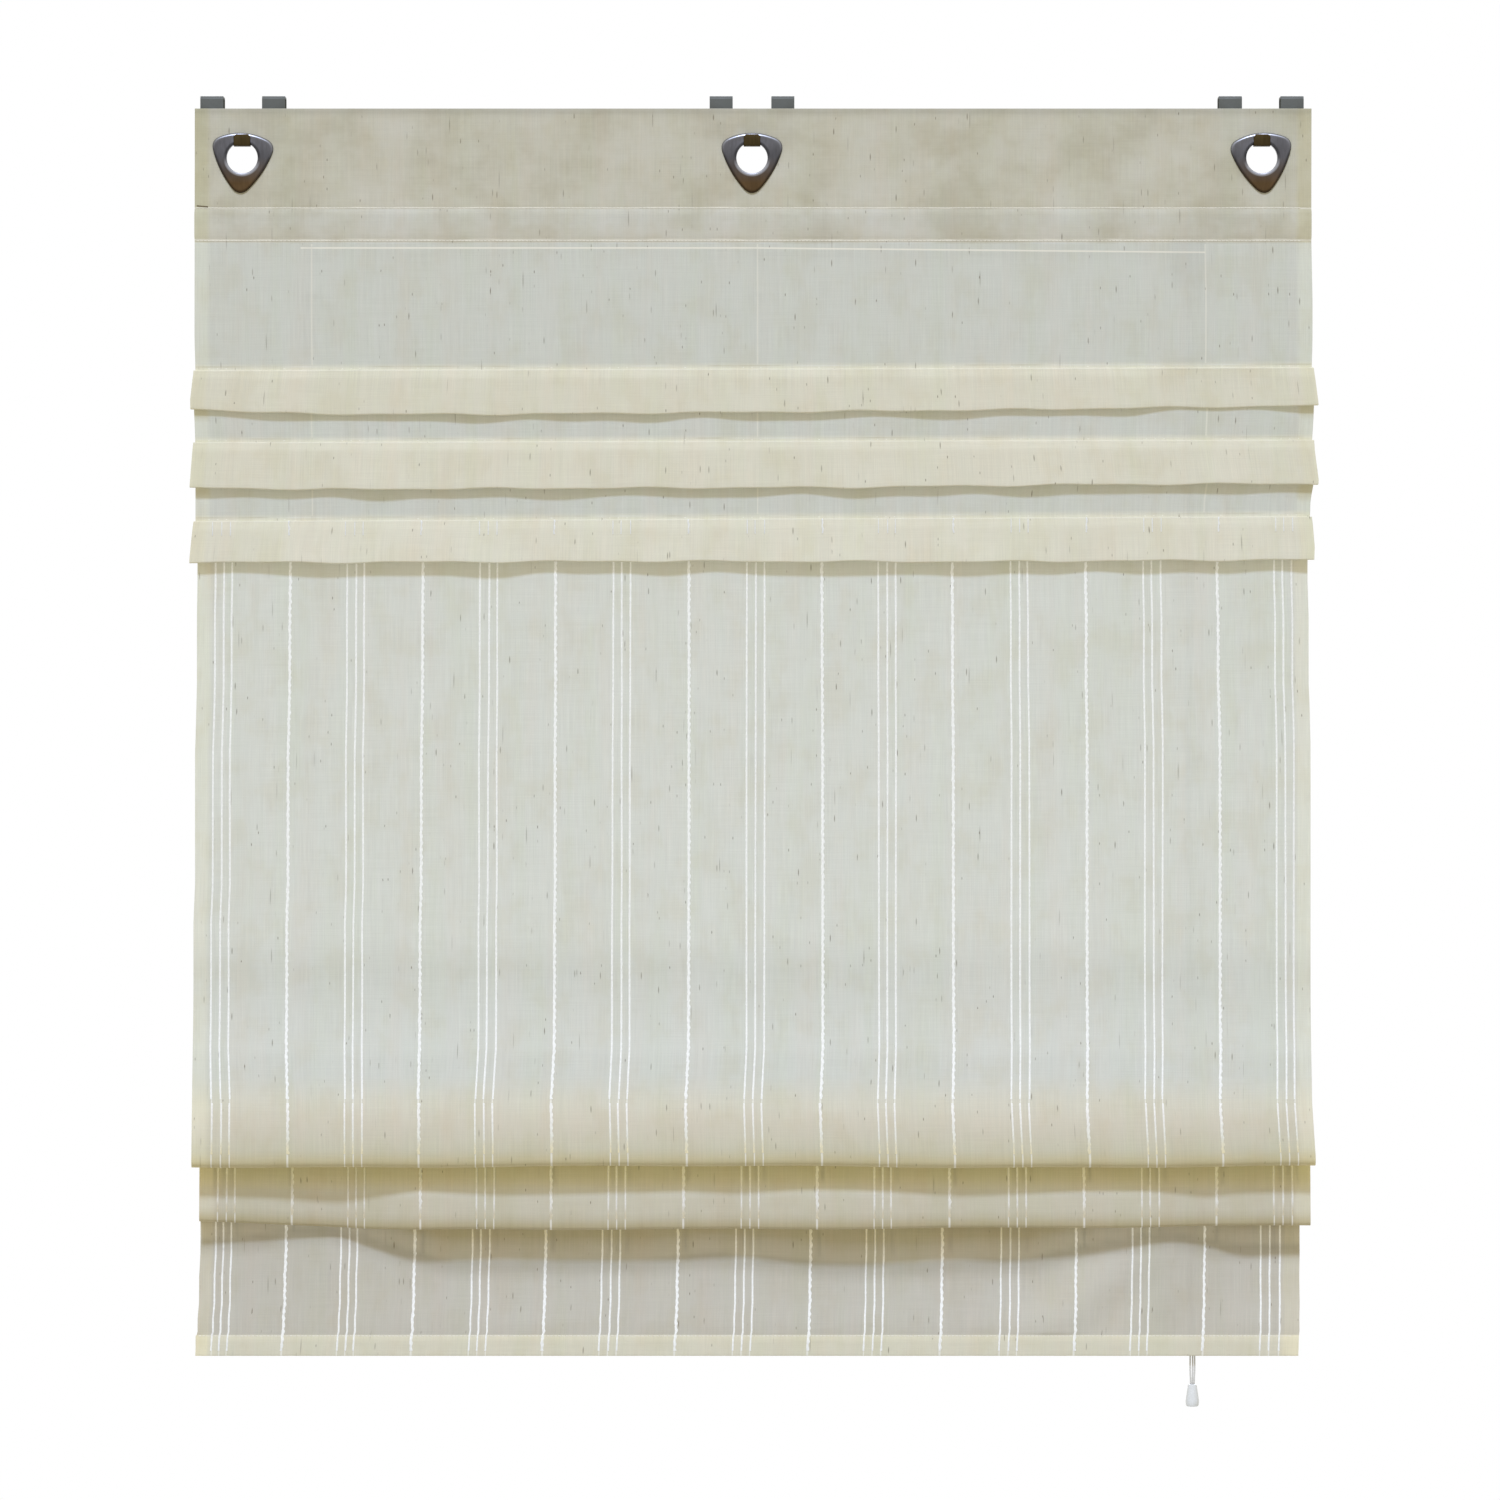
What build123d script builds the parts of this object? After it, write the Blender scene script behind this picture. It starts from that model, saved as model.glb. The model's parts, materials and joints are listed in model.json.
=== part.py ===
from build123d import *
import os
from math import atan, cos, degrees, hypot, radians, sin, sqrt, tan

# Roman blind of semi-sheer cloth, partly raised, hung by eyelets from hangers that sit on a window sash.
# Millimetres, +Z up, the room side is -Y.
# The origin is on the back of the middle hanger's plate, at the centre of the face that meets the sash.

# Cloth
blind_width = 1000
cloth_t = 0.5
layer_gap = 0.3
side_hem = 15
stripe_t = 0.2
turn_share = 0.45

# Header, pocket and tucks, going down from the top edge
header_h = 89.4
pocket_h = 29.6
batten_inset = 20
batten_h = 20
batten_t = 3.5
first_tuck_drop = 115
tuck_pitch = 67.6
tuck_depth = 38
tuck_reach = 15
tuck_bulge = 3
seam_allowance = 5
tuck_place_shares = (0, 0.957, 2)
tuck_depth_shares = (0.93, 1.08, 1)

# Striped panel, the two soft folds and the bottom flap
panel_h = 523.6
bow_h = 83
fold_1_drop = 56.4
fold_1_reach = 32
fold_2_drop = 107.6
fold_2_reach = 14
fold_bulge = 7
crest_step = 9
flap_drop = 228
hem_h = 18
hem_bar_inset = 20
hem_bar_h = 13
hem_bar_t = 2.5

# Woven stripes: groups of three fine lines, with a single line halfway between two groups
stripe_pitch = 120
fine_line_w = 2
fine_line_pitch = 7.3
single_line_w = 3
fold_1_shown_shares = (0, 0.92)
fold_2_shown_shares = (0.3, 0.92)
flap_shown_shares = (0.3, 0.98)

# Hangers: a bent bracket that straddles the sash and a hook riveted to it
hanger_inset = 42
sheet_t = 1.5
plate_w = 76.2
plate_h = 22
arm_w = 20.7
arm_h = 16
sash_t = 18
rear_leg = 22
lip_h = 6
lip_flare = 1.6
bend_ease = 1.8
plate_corner = 3
hook_t = 1.4
hook_w = 15
hook_tip_h = 10.6
hook_bend_r = 0.8
hook_corner = 2
rivet_r = 2
rivet_rise = 6

# Eyelets: a domed front half with a barrel, and a flat back half
header_drop = 10.2
eyelet_drop = 44.5
eyelet_w = 54.4
eyelet_h = 55.2
eyelet_hole_r = 14
eyelet_front_t = 2.7
eyelet_back_t = 1.5
eyelet_corner_r = 4
eyelet_edge_w = 2.4
barrel_t = 1.2
eyelet_corner_shares = (0.51, 0.24)
eyelet_tip_share = -0.62
eyelet_top_share = 0.41
eyelet_side_shares = (0.317, -0.225)

# Rings and cords
ring_r = 7
ring_wire_r = 1
ring_side_count = 8
ring_pitch = 208
cord_r = 0.7
left_cord_inset = 105
right_cord_inset = 95
cord_run_drop = 5.8
cord_run_pitch = 2
cord_lead = 4
guide_bend_r = 8
knot_r = 2.6
whipping_w = 4

# Cord lock behind the right end of the header
lock_w = 30
lock_h = 30
lock_flange_h = 26
lock_flange_t = 4
lock_wall = 1.2
lock_room = 7
lock_corner = 1
lock_side_wall = 2
sill_bend_r = 4.5
pin_bend_r = 4.25
roller_drop = 8
roller_r = 2.25
roller_journal_r = 1
roller_travel = 4
roller_slant = 20
lock_screw_r = 1.4
lock_screw_head_r = 2.8
lock_screw_head_t = 1.6
lock_screw_pitch = 19

# Pull
pull_drop = 26
pull_h = 20
pull_r = 6
pull_shift = 1.6
pull_neck_h = 3
pull_wall = 1.4
pull_knot_r = 3
pull_knot_h = 5
pull_outline_shares = ((0.62, 0), (0.92, 0.45), (1, 0.76), (0.86, 1))
pull_widest_share = 0.76

# Number of flats that stand for a round section: of a hidden cord, of a small piece and of a larger one
cord_side_count = 4
small_side_count = 6
round_side_count = 12

# Clearances and the overrun of every cut
seat_gap = 0.3
slip_gap = 0.1
cord_gap = 0.15
overrun = 5

# Places that follow from the sizes, across the width
half_width = blind_width / 2
batten_w = blind_width - 2 * batten_inset
hem_bar_w = blind_width - 2 * hem_bar_inset
hanger_pitch = half_width - hanger_inset
hanger_xs = {"left": -hanger_pitch, "middle": 0, "right": hanger_pitch}
left_column_x = left_cord_inset - half_width
right_column_x = half_width - right_cord_inset
columns = [left_column_x, (left_column_x + right_column_x) / 2, right_column_x]
side_group_count = int((half_width - fine_line_pitch - fine_line_w) / stripe_pitch)
group_xs = [place * stripe_pitch for place in range(-side_group_count, side_group_count + 1)]

# Levels that follow from the sizes, in depth
hook_y = -sheet_t - hook_t
eyelet_back_y = hook_y - seat_gap - eyelet_back_t
header_back_y = eyelet_back_y - slip_gap - cloth_t / 2
layer_step = cloth_t + layer_gap
front_y = header_back_y - layer_step
batten_y = front_y + cloth_t / 2 + layer_gap
pocket_back_y = batten_y + batten_t + layer_gap + cloth_t / 2
eyelet_front_y = front_y - cloth_t / 2 - slip_gap
ring_y = front_y + cloth_t / 2 + seat_gap + ring_r
lock_y = pocket_back_y + cloth_t / 2 + seat_gap

# Levels that follow from the sizes, in height
seat_z = plate_h / 2 + arm_h
cloth_top_z = seat_z - header_drop
eyelet_z = cloth_top_z - eyelet_drop
pocket_top_z = cloth_top_z - header_h
pocket_low_z = pocket_top_z - pocket_h
batten_z = (pocket_top_z + pocket_low_z) / 2
tuck_seams = [pocket_low_z - first_tuck_drop - share * tuck_pitch for share in tuck_place_shares]
tuck_depths = [share * tuck_depth for share in tuck_depth_shares]
last_seam_z = tuck_seams[-1]
panel_top_z = last_seam_z - seam_allowance - tuck_bulge
fold_line_z = last_seam_z - panel_h
bow_z = fold_line_z + bow_h
fold_1_z = fold_line_z - fold_1_drop
fold_2_z = fold_line_z - fold_2_drop
hem_z = fold_line_z - flap_drop
crest_2_z = fold_line_z - crest_step

# Levels of the rings and cords
cord_y = ring_y
ring_row_2_z = last_seam_z - seam_allowance
ring_row_1_z = ring_row_2_z + ring_pitch
ring_row_3_z = ring_row_2_z - ring_pitch
ring_row_4_z = ring_row_3_z - ring_pitch
ring_row_5_z = fold_line_z - 2 * ring_wire_r
ring_mid_r = ring_r - ring_wire_r
knot_z = crest_2_z + ring_wire_r + cord_gap
ring_row_6_z = knot_z - ring_mid_r
cord_end_z = knot_z + knot_r + slip_gap
left_run_z = pocket_low_z - cord_run_drop
middle_run_z = left_run_z - cord_run_pitch

# Places inside the cord lock: the strands come down between a rounded sill and a loose roller
right_strand_x = columns[2] - 2 * pin_bend_r
left_strand_x = right_strand_x - cord_run_pitch
middle_strand_x = left_strand_x - cord_run_pitch
sill_x = middle_strand_x - sill_bend_r
sill_z = middle_run_z - sill_bend_r
sill_r = sill_bend_r - cord_r - cord_gap
pin_r = pin_bend_r - cord_r - cord_gap
pin_z = sill_z + cord_run_pitch
room_top_z = left_run_z + cord_r + seat_gap
room_right_x = columns[2] + cord_r + seat_gap
lock_right_x = room_right_x + lock_side_wall
lock_x = lock_right_x - lock_w / 2
lock_top_z = room_top_z + lock_side_wall
lock_low_z = lock_top_z - lock_h
roller_x = right_strand_x + cord_r + cord_gap + roller_r
roller_z = sill_z - roller_drop


def keep(piece, name):
    """Label a finished piece and write it to its own file."""
    piece.part.label = name
    export_step(piece.part, f"parts/{name}.step")


def moved_corners(points, distance):
    """Corner points of an open path, moved to the left of its direction."""
    steps = [(b[0] - a[0], b[1] - a[1]) for a, b in zip(points, points[1:])]
    lefts = [(-dz / hypot(dy, dz), dy / hypot(dy, dz)) for dy, dz in steps]
    moved = []
    for (y, z), first, second in zip(points, lefts[:1] + lefts, lefts + lefts[-1:]):
        scale = distance / (1 + first[0] * second[0] + first[1] * second[1])
        moved.append((y + scale * (first[0] + second[0]), z + scale * (first[1] + second[1])))
    return moved


def moved_radii(points, radii, distance):
    """Corner radii of the same path after the move: smaller on the inside of a bend, none at a crease."""
    moved = []
    for a, b, c, radius in zip(points, points[1:], points[2:], radii):
        turn = (b[0] - a[0]) * (c[1] - b[1]) - (b[1] - a[1]) * (c[0] - b[0])
        if radius:
            moved.append(radius - distance if turn > 0 else radius + distance)
        else:
            moved.append(radius)
    return moved


def eased(points, cut):
    """Path with every inner corner cut off, as a bend in two steps."""
    path = points[:1]
    for a, b, c in zip(points, points[1:], points[2:]):
        for end in (a, c):
            share = cut / hypot(end[0] - b[0], end[1] - b[1])
            path.append((b[0] + share * (end[0] - b[0]), b[1] + share * (end[1] - b[1])))
    return path + points[-1:]


def ribbon(points, radii, right, left, x=0):
    """Side view of a bent sheet: the band between two distances to the left of a path."""
    with BuildSketch(Plane.YZ.offset(x)) as band:
        with BuildLine():
            sides = []
            for distance in (right, left):
                corners = moved_corners(points, distance)
                if radii:
                    FilletPolyline(*corners, radius=moved_radii(points, radii, distance))
                else:
                    Polyline(*corners)
                sides.append(corners)
            Line(sides[0][0], sides[1][0])
            Line(sides[0][-1], sides[1][-1])
        make_face()
    return band.sketch


def cloth_band(points, radii):
    """Side view of one thickness of cloth along a path."""
    return ribbon(points, radii, -cloth_t / 2, cloth_t / 2)


def tube(path, side_count):
    """Cord along a path, with the given number of flats."""
    with BuildPart() as cord:
        with BuildSketch(Plane(origin=path @ 0, z_dir=path % 0)):
            RegularPolygon(cord_r, side_count)
        sweep(path=path)
    return cord


os.makedirs("parts", exist_ok=True)

# Upper cloth: up the back of the header, round the batten, over the top edge, down the front, through the tucks
pocket_slope = (pocket_h - batten_h) / 2 - 2 * layer_gap
tuck_turn_r = turn_share * tuck_bulge
crest_w = 2 * cloth_t
crease_r = 0
upper_path = [
    (header_back_y, pocket_low_z),
    (pocket_back_y, pocket_low_z + pocket_slope),
    (pocket_back_y, pocket_top_z - pocket_slope),
    (header_back_y, pocket_top_z),
    (header_back_y, cloth_top_z - cloth_t / 2),
    (front_y, cloth_top_z - cloth_t / 2),
]
upper_radii = [crease_r] * 5
for seam_z, depth in zip(tuck_seams, tuck_depths):
    edge_z = seam_z - depth + cloth_t / 2
    crest_z = seam_z - seam_allowance
    upper_path += [
        (front_y, seam_z),
        (front_y - tuck_reach, edge_z),
        (front_y - tuck_reach + tuck_bulge, edge_z),
        (front_y - crest_w, crest_z),
        (front_y, crest_z),
    ]
    upper_radii += [crease_r, tuck_turn_r, tuck_turn_r, crease_r, crease_r]
upper_path.append((front_y, panel_top_z + layer_gap))
upper_section = cloth_band(upper_path, upper_radii)

cloth_hole_r = eyelet_hole_r + barrel_t + seat_gap
screw_places = [(lock_x + side * lock_screw_pitch / 2, batten_z) for side in (-1, 1)]

with BuildPart() as upper_cloth:
    extrude(upper_section, amount=half_width, both=True)
    with BuildSketch(Plane.XZ.offset(-header_back_y - overrun / 2)):
        with Locations(*[(x, eyelet_z) for x in hanger_xs.values()]):
            RegularPolygon(cloth_hole_r, round_side_count, major_radius=False)
    extrude(amount=overrun, mode=Mode.SUBTRACT)
    with BuildSketch(Plane.XZ.offset(-pocket_back_y - cloth_t)):
        with Locations(*screw_places):
            RegularPolygon(lock_screw_r + seat_gap, small_side_count)
    extrude(amount=2 * cloth_t, mode=Mode.SUBTRACT)
keep(upper_cloth, "upper_cloth")

# Flat batten in the pocket, with pilot holes for the cord lock's screws
with BuildPart() as header_batten:
    with BuildSketch(Plane.XZ.offset(-batten_y)):
        with Locations((0, batten_z)):
            Rectangle(batten_w, batten_h)
        with Locations(*screw_places):
            RegularPolygon(lock_screw_r + slip_gap, small_side_count, mode=Mode.SUBTRACT)
    extrude(amount=-batten_t)
keep(header_batten, "header_batten")

# Striped panel: flat below the tucks, leaning forward towards the first fold
fold_1_y = front_y - fold_1_reach
lean = fold_1_reach / (bow_z - fold_1_z)
fold_line_y = front_y - lean * bow_h
panel_path = [(front_y, panel_top_z), (front_y, bow_z), (fold_line_y, fold_line_z)]
panel_section = cloth_band(panel_path, [])
hem_band = ribbon(panel_path, [], cloth_t / 2, cloth_t / 2 + cloth_t, half_width - side_hem)

with BuildPart() as striped_panel:
    extrude(panel_section, amount=half_width, both=True)
    extrude(hem_band, amount=side_hem)
    mirror(extrude(hem_band, amount=side_hem, mode=Mode.PRIVATE), about=Plane.YZ)
keep(striped_panel, "striped_panel")

# Lower cloth: two soft folds that hang from the ring rows, the bottom flap and its turned-up hem
fold_2_y = front_y - fold_2_reach
crest_layer = cloth_t + stripe_t + layer_gap + slip_gap
hem_back_y = front_y + hem_bar_t + 2 * layer_gap + cloth_t
fold_r = turn_share * fold_bulge
lower_path = [
    (fold_line_y, fold_line_z - layer_gap),
    (fold_1_y, fold_1_z + cloth_t / 2),
    (fold_1_y + fold_bulge, fold_1_z + cloth_t / 2),
    (front_y - 3 * crest_layer, fold_line_z),
    (front_y - 2 * crest_layer, fold_line_z),
    (fold_2_y, fold_2_z + cloth_t / 2),
    (fold_2_y + fold_bulge, fold_2_z + cloth_t / 2),
    (front_y - crest_layer, crest_2_z),
    (front_y, crest_2_z),
    (front_y, hem_z + cloth_t / 2),
    (hem_back_y, hem_z + cloth_t / 2),
    (hem_back_y, hem_z + hem_h),
]
lower_radii = [fold_r] * 2 + [crease_r] * 2 + [fold_r] * 2 + [crease_r] * 4
lower_section = cloth_band(lower_path, lower_radii)

with BuildPart() as lower_folds:
    extrude(lower_section, amount=half_width, both=True)
keep(lower_folds, "lower_folds")

# Flat bar that weighs the hem down
with BuildPart() as hem_bar:
    with BuildSketch(Plane.XZ.offset(-front_y - cloth_t / 2 - layer_gap)):
        with Locations((0, hem_z + cloth_t + layer_gap + hem_bar_h / 2)):
            Rectangle(hem_bar_w, hem_bar_h)
    extrude(amount=-hem_bar_t)
keep(hem_bar, "hem_bar")

# Woven stripes, raised on the face of the cloth where it shows
fine_xs = [x + side * fine_line_pitch for x in group_xs for side in (-1, 0, 1)]
single_xs = [x + stripe_pitch / 2 for x in group_xs[:-1]]
stripe_sets = [(fine_xs, fine_line_w), (single_xs, single_line_w)]


def stripes(stretches):
    """Every stripe along each stretch of the cloth, raised on its face."""
    with BuildPart() as lines:
        for xs, width in stripe_sets:
            for path, radii in stretches:
                band = ribbon(path, radii, -cloth_t / 2 - stripe_t, -cloth_t / 2)
                line = extrude(band, amount=width / 2, both=True, mode=Mode.PRIVATE)
                with Locations(*[(x, 0, 0) for x in xs]):
                    add(line)
    return lines


def stretch(path, first, shares):
    """Straight piece of a path, between two shares of the run that starts at a corner."""
    (y, z), (end_y, end_z) = path[first], path[first + 1]
    return [(y + share * (end_y - y), z + share * (end_z - z)) for share in shares]


panel_stripes = stripes([(panel_path, [])])
keep(panel_stripes, "panel_stripes")

fold_stripes = stripes(
    [
        (stretch(lower_path, 0, fold_1_shown_shares), []),
        (stretch(lower_path, 4, fold_2_shown_shares), []),
        (stretch(lower_path, 8, flap_shown_shares), []),
    ]
)
keep(fold_stripes, "fold_stripes")

# Hanger bracket: a plate with two arms that bend over the sash and down behind it
rear_end_z = seat_z - rear_leg
leg_y = sash_t + sheet_t / 2
bracket_path = [
    (-sheet_t / 2, plate_h / 2),
    (-sheet_t / 2, seat_z + sheet_t / 2),
    (leg_y, seat_z + sheet_t / 2),
    (leg_y, rear_end_z + lip_h),
    (leg_y + lip_flare, rear_end_z),
]
bracket_path = eased(bracket_path, bend_ease)
arm_x = (plate_w - arm_w) / 2
arm_sections = [
    ribbon(bracket_path, [], -sheet_t / 2, sheet_t / 2, side * arm_x - arm_w / 2)
    for side in (-1, 1)
]

with BuildPart() as bracket:
    with BuildSketch(Plane.XZ):
        Rectangle(plate_w, plate_h)
    extrude(amount=sheet_t)
    for arm_section in arm_sections:
        extrude(arm_section, amount=arm_w)
    across = bracket.edges().filter_by(Axis.Y).filter_by(lambda edge: edge.length < 2 * sheet_t)
    low_corners = across.group_by(Axis.Z)[0]
    notch_corners = across.filter_by(lambda edge: abs(edge.center().Z - plate_h / 2) < slip_gap)
    chamfer(low_corners + notch_corners, plate_corner)
    lip_corners = bracket.edges().filter_by(
        lambda edge: edge.center().Y > leg_y
        and edge.center().Z < rear_end_z + sheet_t
        and edge.length < 2 * sheet_t
    )
    chamfer(lip_corners, plate_corner)
    with BuildSketch(Plane.XZ.offset(-overrun)):
        with Locations((0, rivet_rise)):
            RegularPolygon(rivet_r + slip_gap, round_side_count)
    extrude(amount=2 * overrun, mode=Mode.SUBTRACT)

# Hook: a strip down the front of the plate, out through the eyelet and up in front of it
tongue_top_z = eyelet_z + sqrt(eyelet_hole_r**2 - (hook_w / 2) ** 2) - slip_gap
tongue_z = tongue_top_z - hook_t / 2
tip_y = eyelet_front_y - eyelet_front_t - 2 * seat_gap - hook_t / 2
hook_path = [
    (hook_y + hook_t / 2, plate_h / 2),
    (hook_y + hook_t / 2, tongue_z),
    (tip_y, tongue_z),
    (tip_y, tongue_z - hook_t / 2 + hook_tip_h),
]
hook_radii = [hook_bend_r + hook_t / 2] * 2
hook_section = ribbon(hook_path, hook_radii, -hook_t / 2, hook_t / 2)

with BuildPart() as hook:
    extrude(hook_section, amount=hook_w / 2, both=True)
    end_corners = hook.edges().filter_by(Axis.Y).filter_by(lambda edge: edge.length < 2 * hook_t)
    chamfer(end_corners, hook_corner)
    with BuildSketch(Plane.XZ.offset(-overrun)):
        with Locations((0, rivet_rise)):
            RegularPolygon(rivet_r + slip_gap, round_side_count)
    extrude(amount=2 * overrun, mode=Mode.SUBTRACT)


def eyelet_outline():
    """Shield with three bowed sides and rounded corners, about the centre of its hole."""
    corner_x, corner_z = (share * size for share, size in zip(eyelet_corner_shares, (eyelet_w, eyelet_h)))
    side_x, side_z = (share * size for share, size in zip(eyelet_side_shares, (eyelet_w, eyelet_h)))
    tip_z = eyelet_tip_share * eyelet_h
    with BuildSketch() as shield:
        with BuildLine():
            ThreePointArc((-corner_x, corner_z), (0, eyelet_top_share * eyelet_h), (corner_x, corner_z))
            ThreePointArc((corner_x, corner_z), (side_x, side_z), (0, tip_z))
            ThreePointArc((0, tip_z), (-side_x, side_z), (-corner_x, corner_z))
        make_face()
        fillet(shield.vertices(), eyelet_corner_r)
    return shield.sketch


shield_face = eyelet_outline()
barrel_end_y = eyelet_back_y + eyelet_back_t

# Front half of an eyelet, with its barrel through the cloth
with BuildPart() as eyelet_front:
    with BuildSketch(Plane.XZ.offset(-eyelet_front_y)):
        with Locations((0, eyelet_z)):
            add(shield_face)
            Circle(eyelet_hole_r, mode=Mode.SUBTRACT)
    extrude(amount=eyelet_front_t)
    outer_edge = eyelet_front.faces().sort_by(Axis.Y)[0].outer_wire().edges()
    chamfer(outer_edge, eyelet_front_t / 2, eyelet_edge_w)
    with BuildSketch(Plane.XZ.offset(-eyelet_front_y)):
        with Locations((0, eyelet_z)):
            Circle(eyelet_hole_r + barrel_t)
            Circle(eyelet_hole_r, mode=Mode.SUBTRACT)
    extrude(amount=eyelet_front_y - barrel_end_y)

# Back half, pressed on the end of the barrel
with BuildPart() as eyelet_back:
    with BuildSketch(Plane.XZ.offset(-eyelet_back_y)):
        with Locations((0, eyelet_z)):
            add(shield_face)
            Circle(eyelet_hole_r + barrel_t + slip_gap, mode=Mode.SUBTRACT)
    extrude(amount=-eyelet_back_t)

for side, x in hanger_xs.items():
    for blank, name in ((bracket, "hanger_bracket"), (hook, "hanger_hook")):
        with BuildPart() as placed:
            with Locations((x, 0, 0)):
                add(blank.part)
        keep(placed, f"{name}_{side}")
for blank, name in ((eyelet_front, "eyelet_fronts"), (eyelet_back, "eyelet_backs")):
    with BuildPart() as placed:
        with Locations(*[(x, 0, 0) for x in hanger_xs.values()]):
            add(blank.part)
    keep(placed, name)

# Rivets, flush on both sides
with BuildPart() as hanger_rivets:
    with BuildSketch(Plane.XZ):
        with Locations(*[(x, rivet_rise) for x in hanger_xs.values()]):
            RegularPolygon(rivet_r, round_side_count)
    extrude(amount=-hook_y)
keep(hanger_rivets, "hanger_rivets")

# Moulded ring, cut from flats
with BuildPart() as ring:
    with BuildSketch(Plane.XY.offset(-ring_wire_r)):
        RegularPolygon(ring_r, ring_side_count)
        RegularPolygon(ring_r - 2 * ring_wire_r, ring_side_count, mode=Mode.SUBTRACT)
    extrude(amount=2 * ring_wire_r)


def ring_row(places):
    """Rings at the given places, one for each column of cord."""
    with BuildPart() as row:
        with Locations(*places):
            add(ring.part)
    return row


crest_1_ring_y = ring_y - 2 * crest_layer
for number, y, z in (
    (1, ring_y, ring_row_1_z),
    (2, ring_y, ring_row_2_z),
    (3, ring_y, ring_row_3_z),
    (4, ring_y, ring_row_4_z),
    (5, crest_1_ring_y, ring_row_5_z),
):
    keep(ring_row([(x, y, z) for x in columns]), f"ring_row_{number}")
bottom_rings = ring_row([Location((x, ring_y, ring_row_6_z), (0, 90, 0)) for x in columns])
keep(bottom_rings, "ring_row_6")

# Guide rings under the pocket, where two of the cords turn towards the lock
bend_inset = guide_bend_r * (1 - cos(radians(45)))
ring_room_r = (ring_r - 2 * ring_wire_r) * cos(radians(180 / ring_side_count))
guide_shift = (ring_room_r - cord_r - cord_gap) * cos(radians(45))
for name, x, run_z in (("left", columns[0], left_run_z), ("middle", columns[1], middle_run_z)):
    place = (x + bend_inset - guide_shift, ring_y, run_z - bend_inset + guide_shift)
    keep(ring_row([Location(place, (0, 45, 0))]), f"guide_ring_{name}")

# Lift cords: each hangs from the head and is whipped to its bottom ring
lift_tops = {
    "left": (columns[0], left_run_z - guide_bend_r - cord_lead),
    "middle": (columns[1], middle_run_z - guide_bend_r - cord_lead),
    "right": (columns[2], pin_z - cord_lead),
}
for name, (x, top_z) in lift_tops.items():
    with BuildPart() as lift_cord:
        with BuildSketch(Plane.XY.offset(cord_end_z)):
            with Locations((x, cord_y)):
                RegularPolygon(cord_r, small_side_count)
        extrude(amount=top_z - cord_end_z)
    keep(lift_cord, f"lift_cord_{name}")

wire_bow = whipping_w / 2 * tan(radians(180 / ring_side_count))
wire_room = (2 * ring_wire_r + 2 * slip_gap, 2 * ring_wire_r + wire_bow + 2 * slip_gap)
with BuildPart() as cord_knots:
    with BuildSketch(Plane.XZ.offset(-cord_y + whipping_w / 2)):
        with Locations(*[(x, knot_z) for x in columns]):
            RegularPolygon(knot_r, small_side_count, major_radius=False)
        with Locations(*[(x, knot_z - wire_bow / 2) for x in columns]):
            Rectangle(*wire_room, mode=Mode.SUBTRACT)
    extrude(amount=-whipping_w)
keep(cord_knots, "cord_knots")

# Cords along the head: round the guide rings, across to the lock and over its sill or pin
cord_plane = Plane.XZ.offset(-cord_y)
strand_top_z = sill_z - cord_lead
for name, x, run_z, strand_x in (
    ("left", columns[0], left_run_z, left_strand_x),
    ("middle", columns[1], middle_run_z, middle_strand_x),
):
    with BuildLine(cord_plane) as head_run:
        FilletPolyline(
            (x, lift_tops[name][1]),
            (x, run_z),
            (strand_x, run_z),
            (strand_x, strand_top_z),
            radius=[guide_bend_r, run_z - sill_z],
        )
    keep(tube(head_run.line, cord_side_count), f"head_cord_{name}")

with BuildLine(cord_plane) as head_run:
    Line(lift_tops["right"], (columns[2], pin_z))
    ThreePointArc(
        (columns[2], pin_z), (columns[2] - pin_bend_r, pin_z + pin_bend_r), (right_strand_x, pin_z)
    )
    Line((right_strand_x, pin_z), (right_strand_x, strand_top_z))
keep(tube(head_run.line, cord_side_count), "head_cord_right")
print("cord bend radii", guide_bend_r, left_run_z - sill_z, middle_run_z - sill_z, pin_bend_r)

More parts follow.
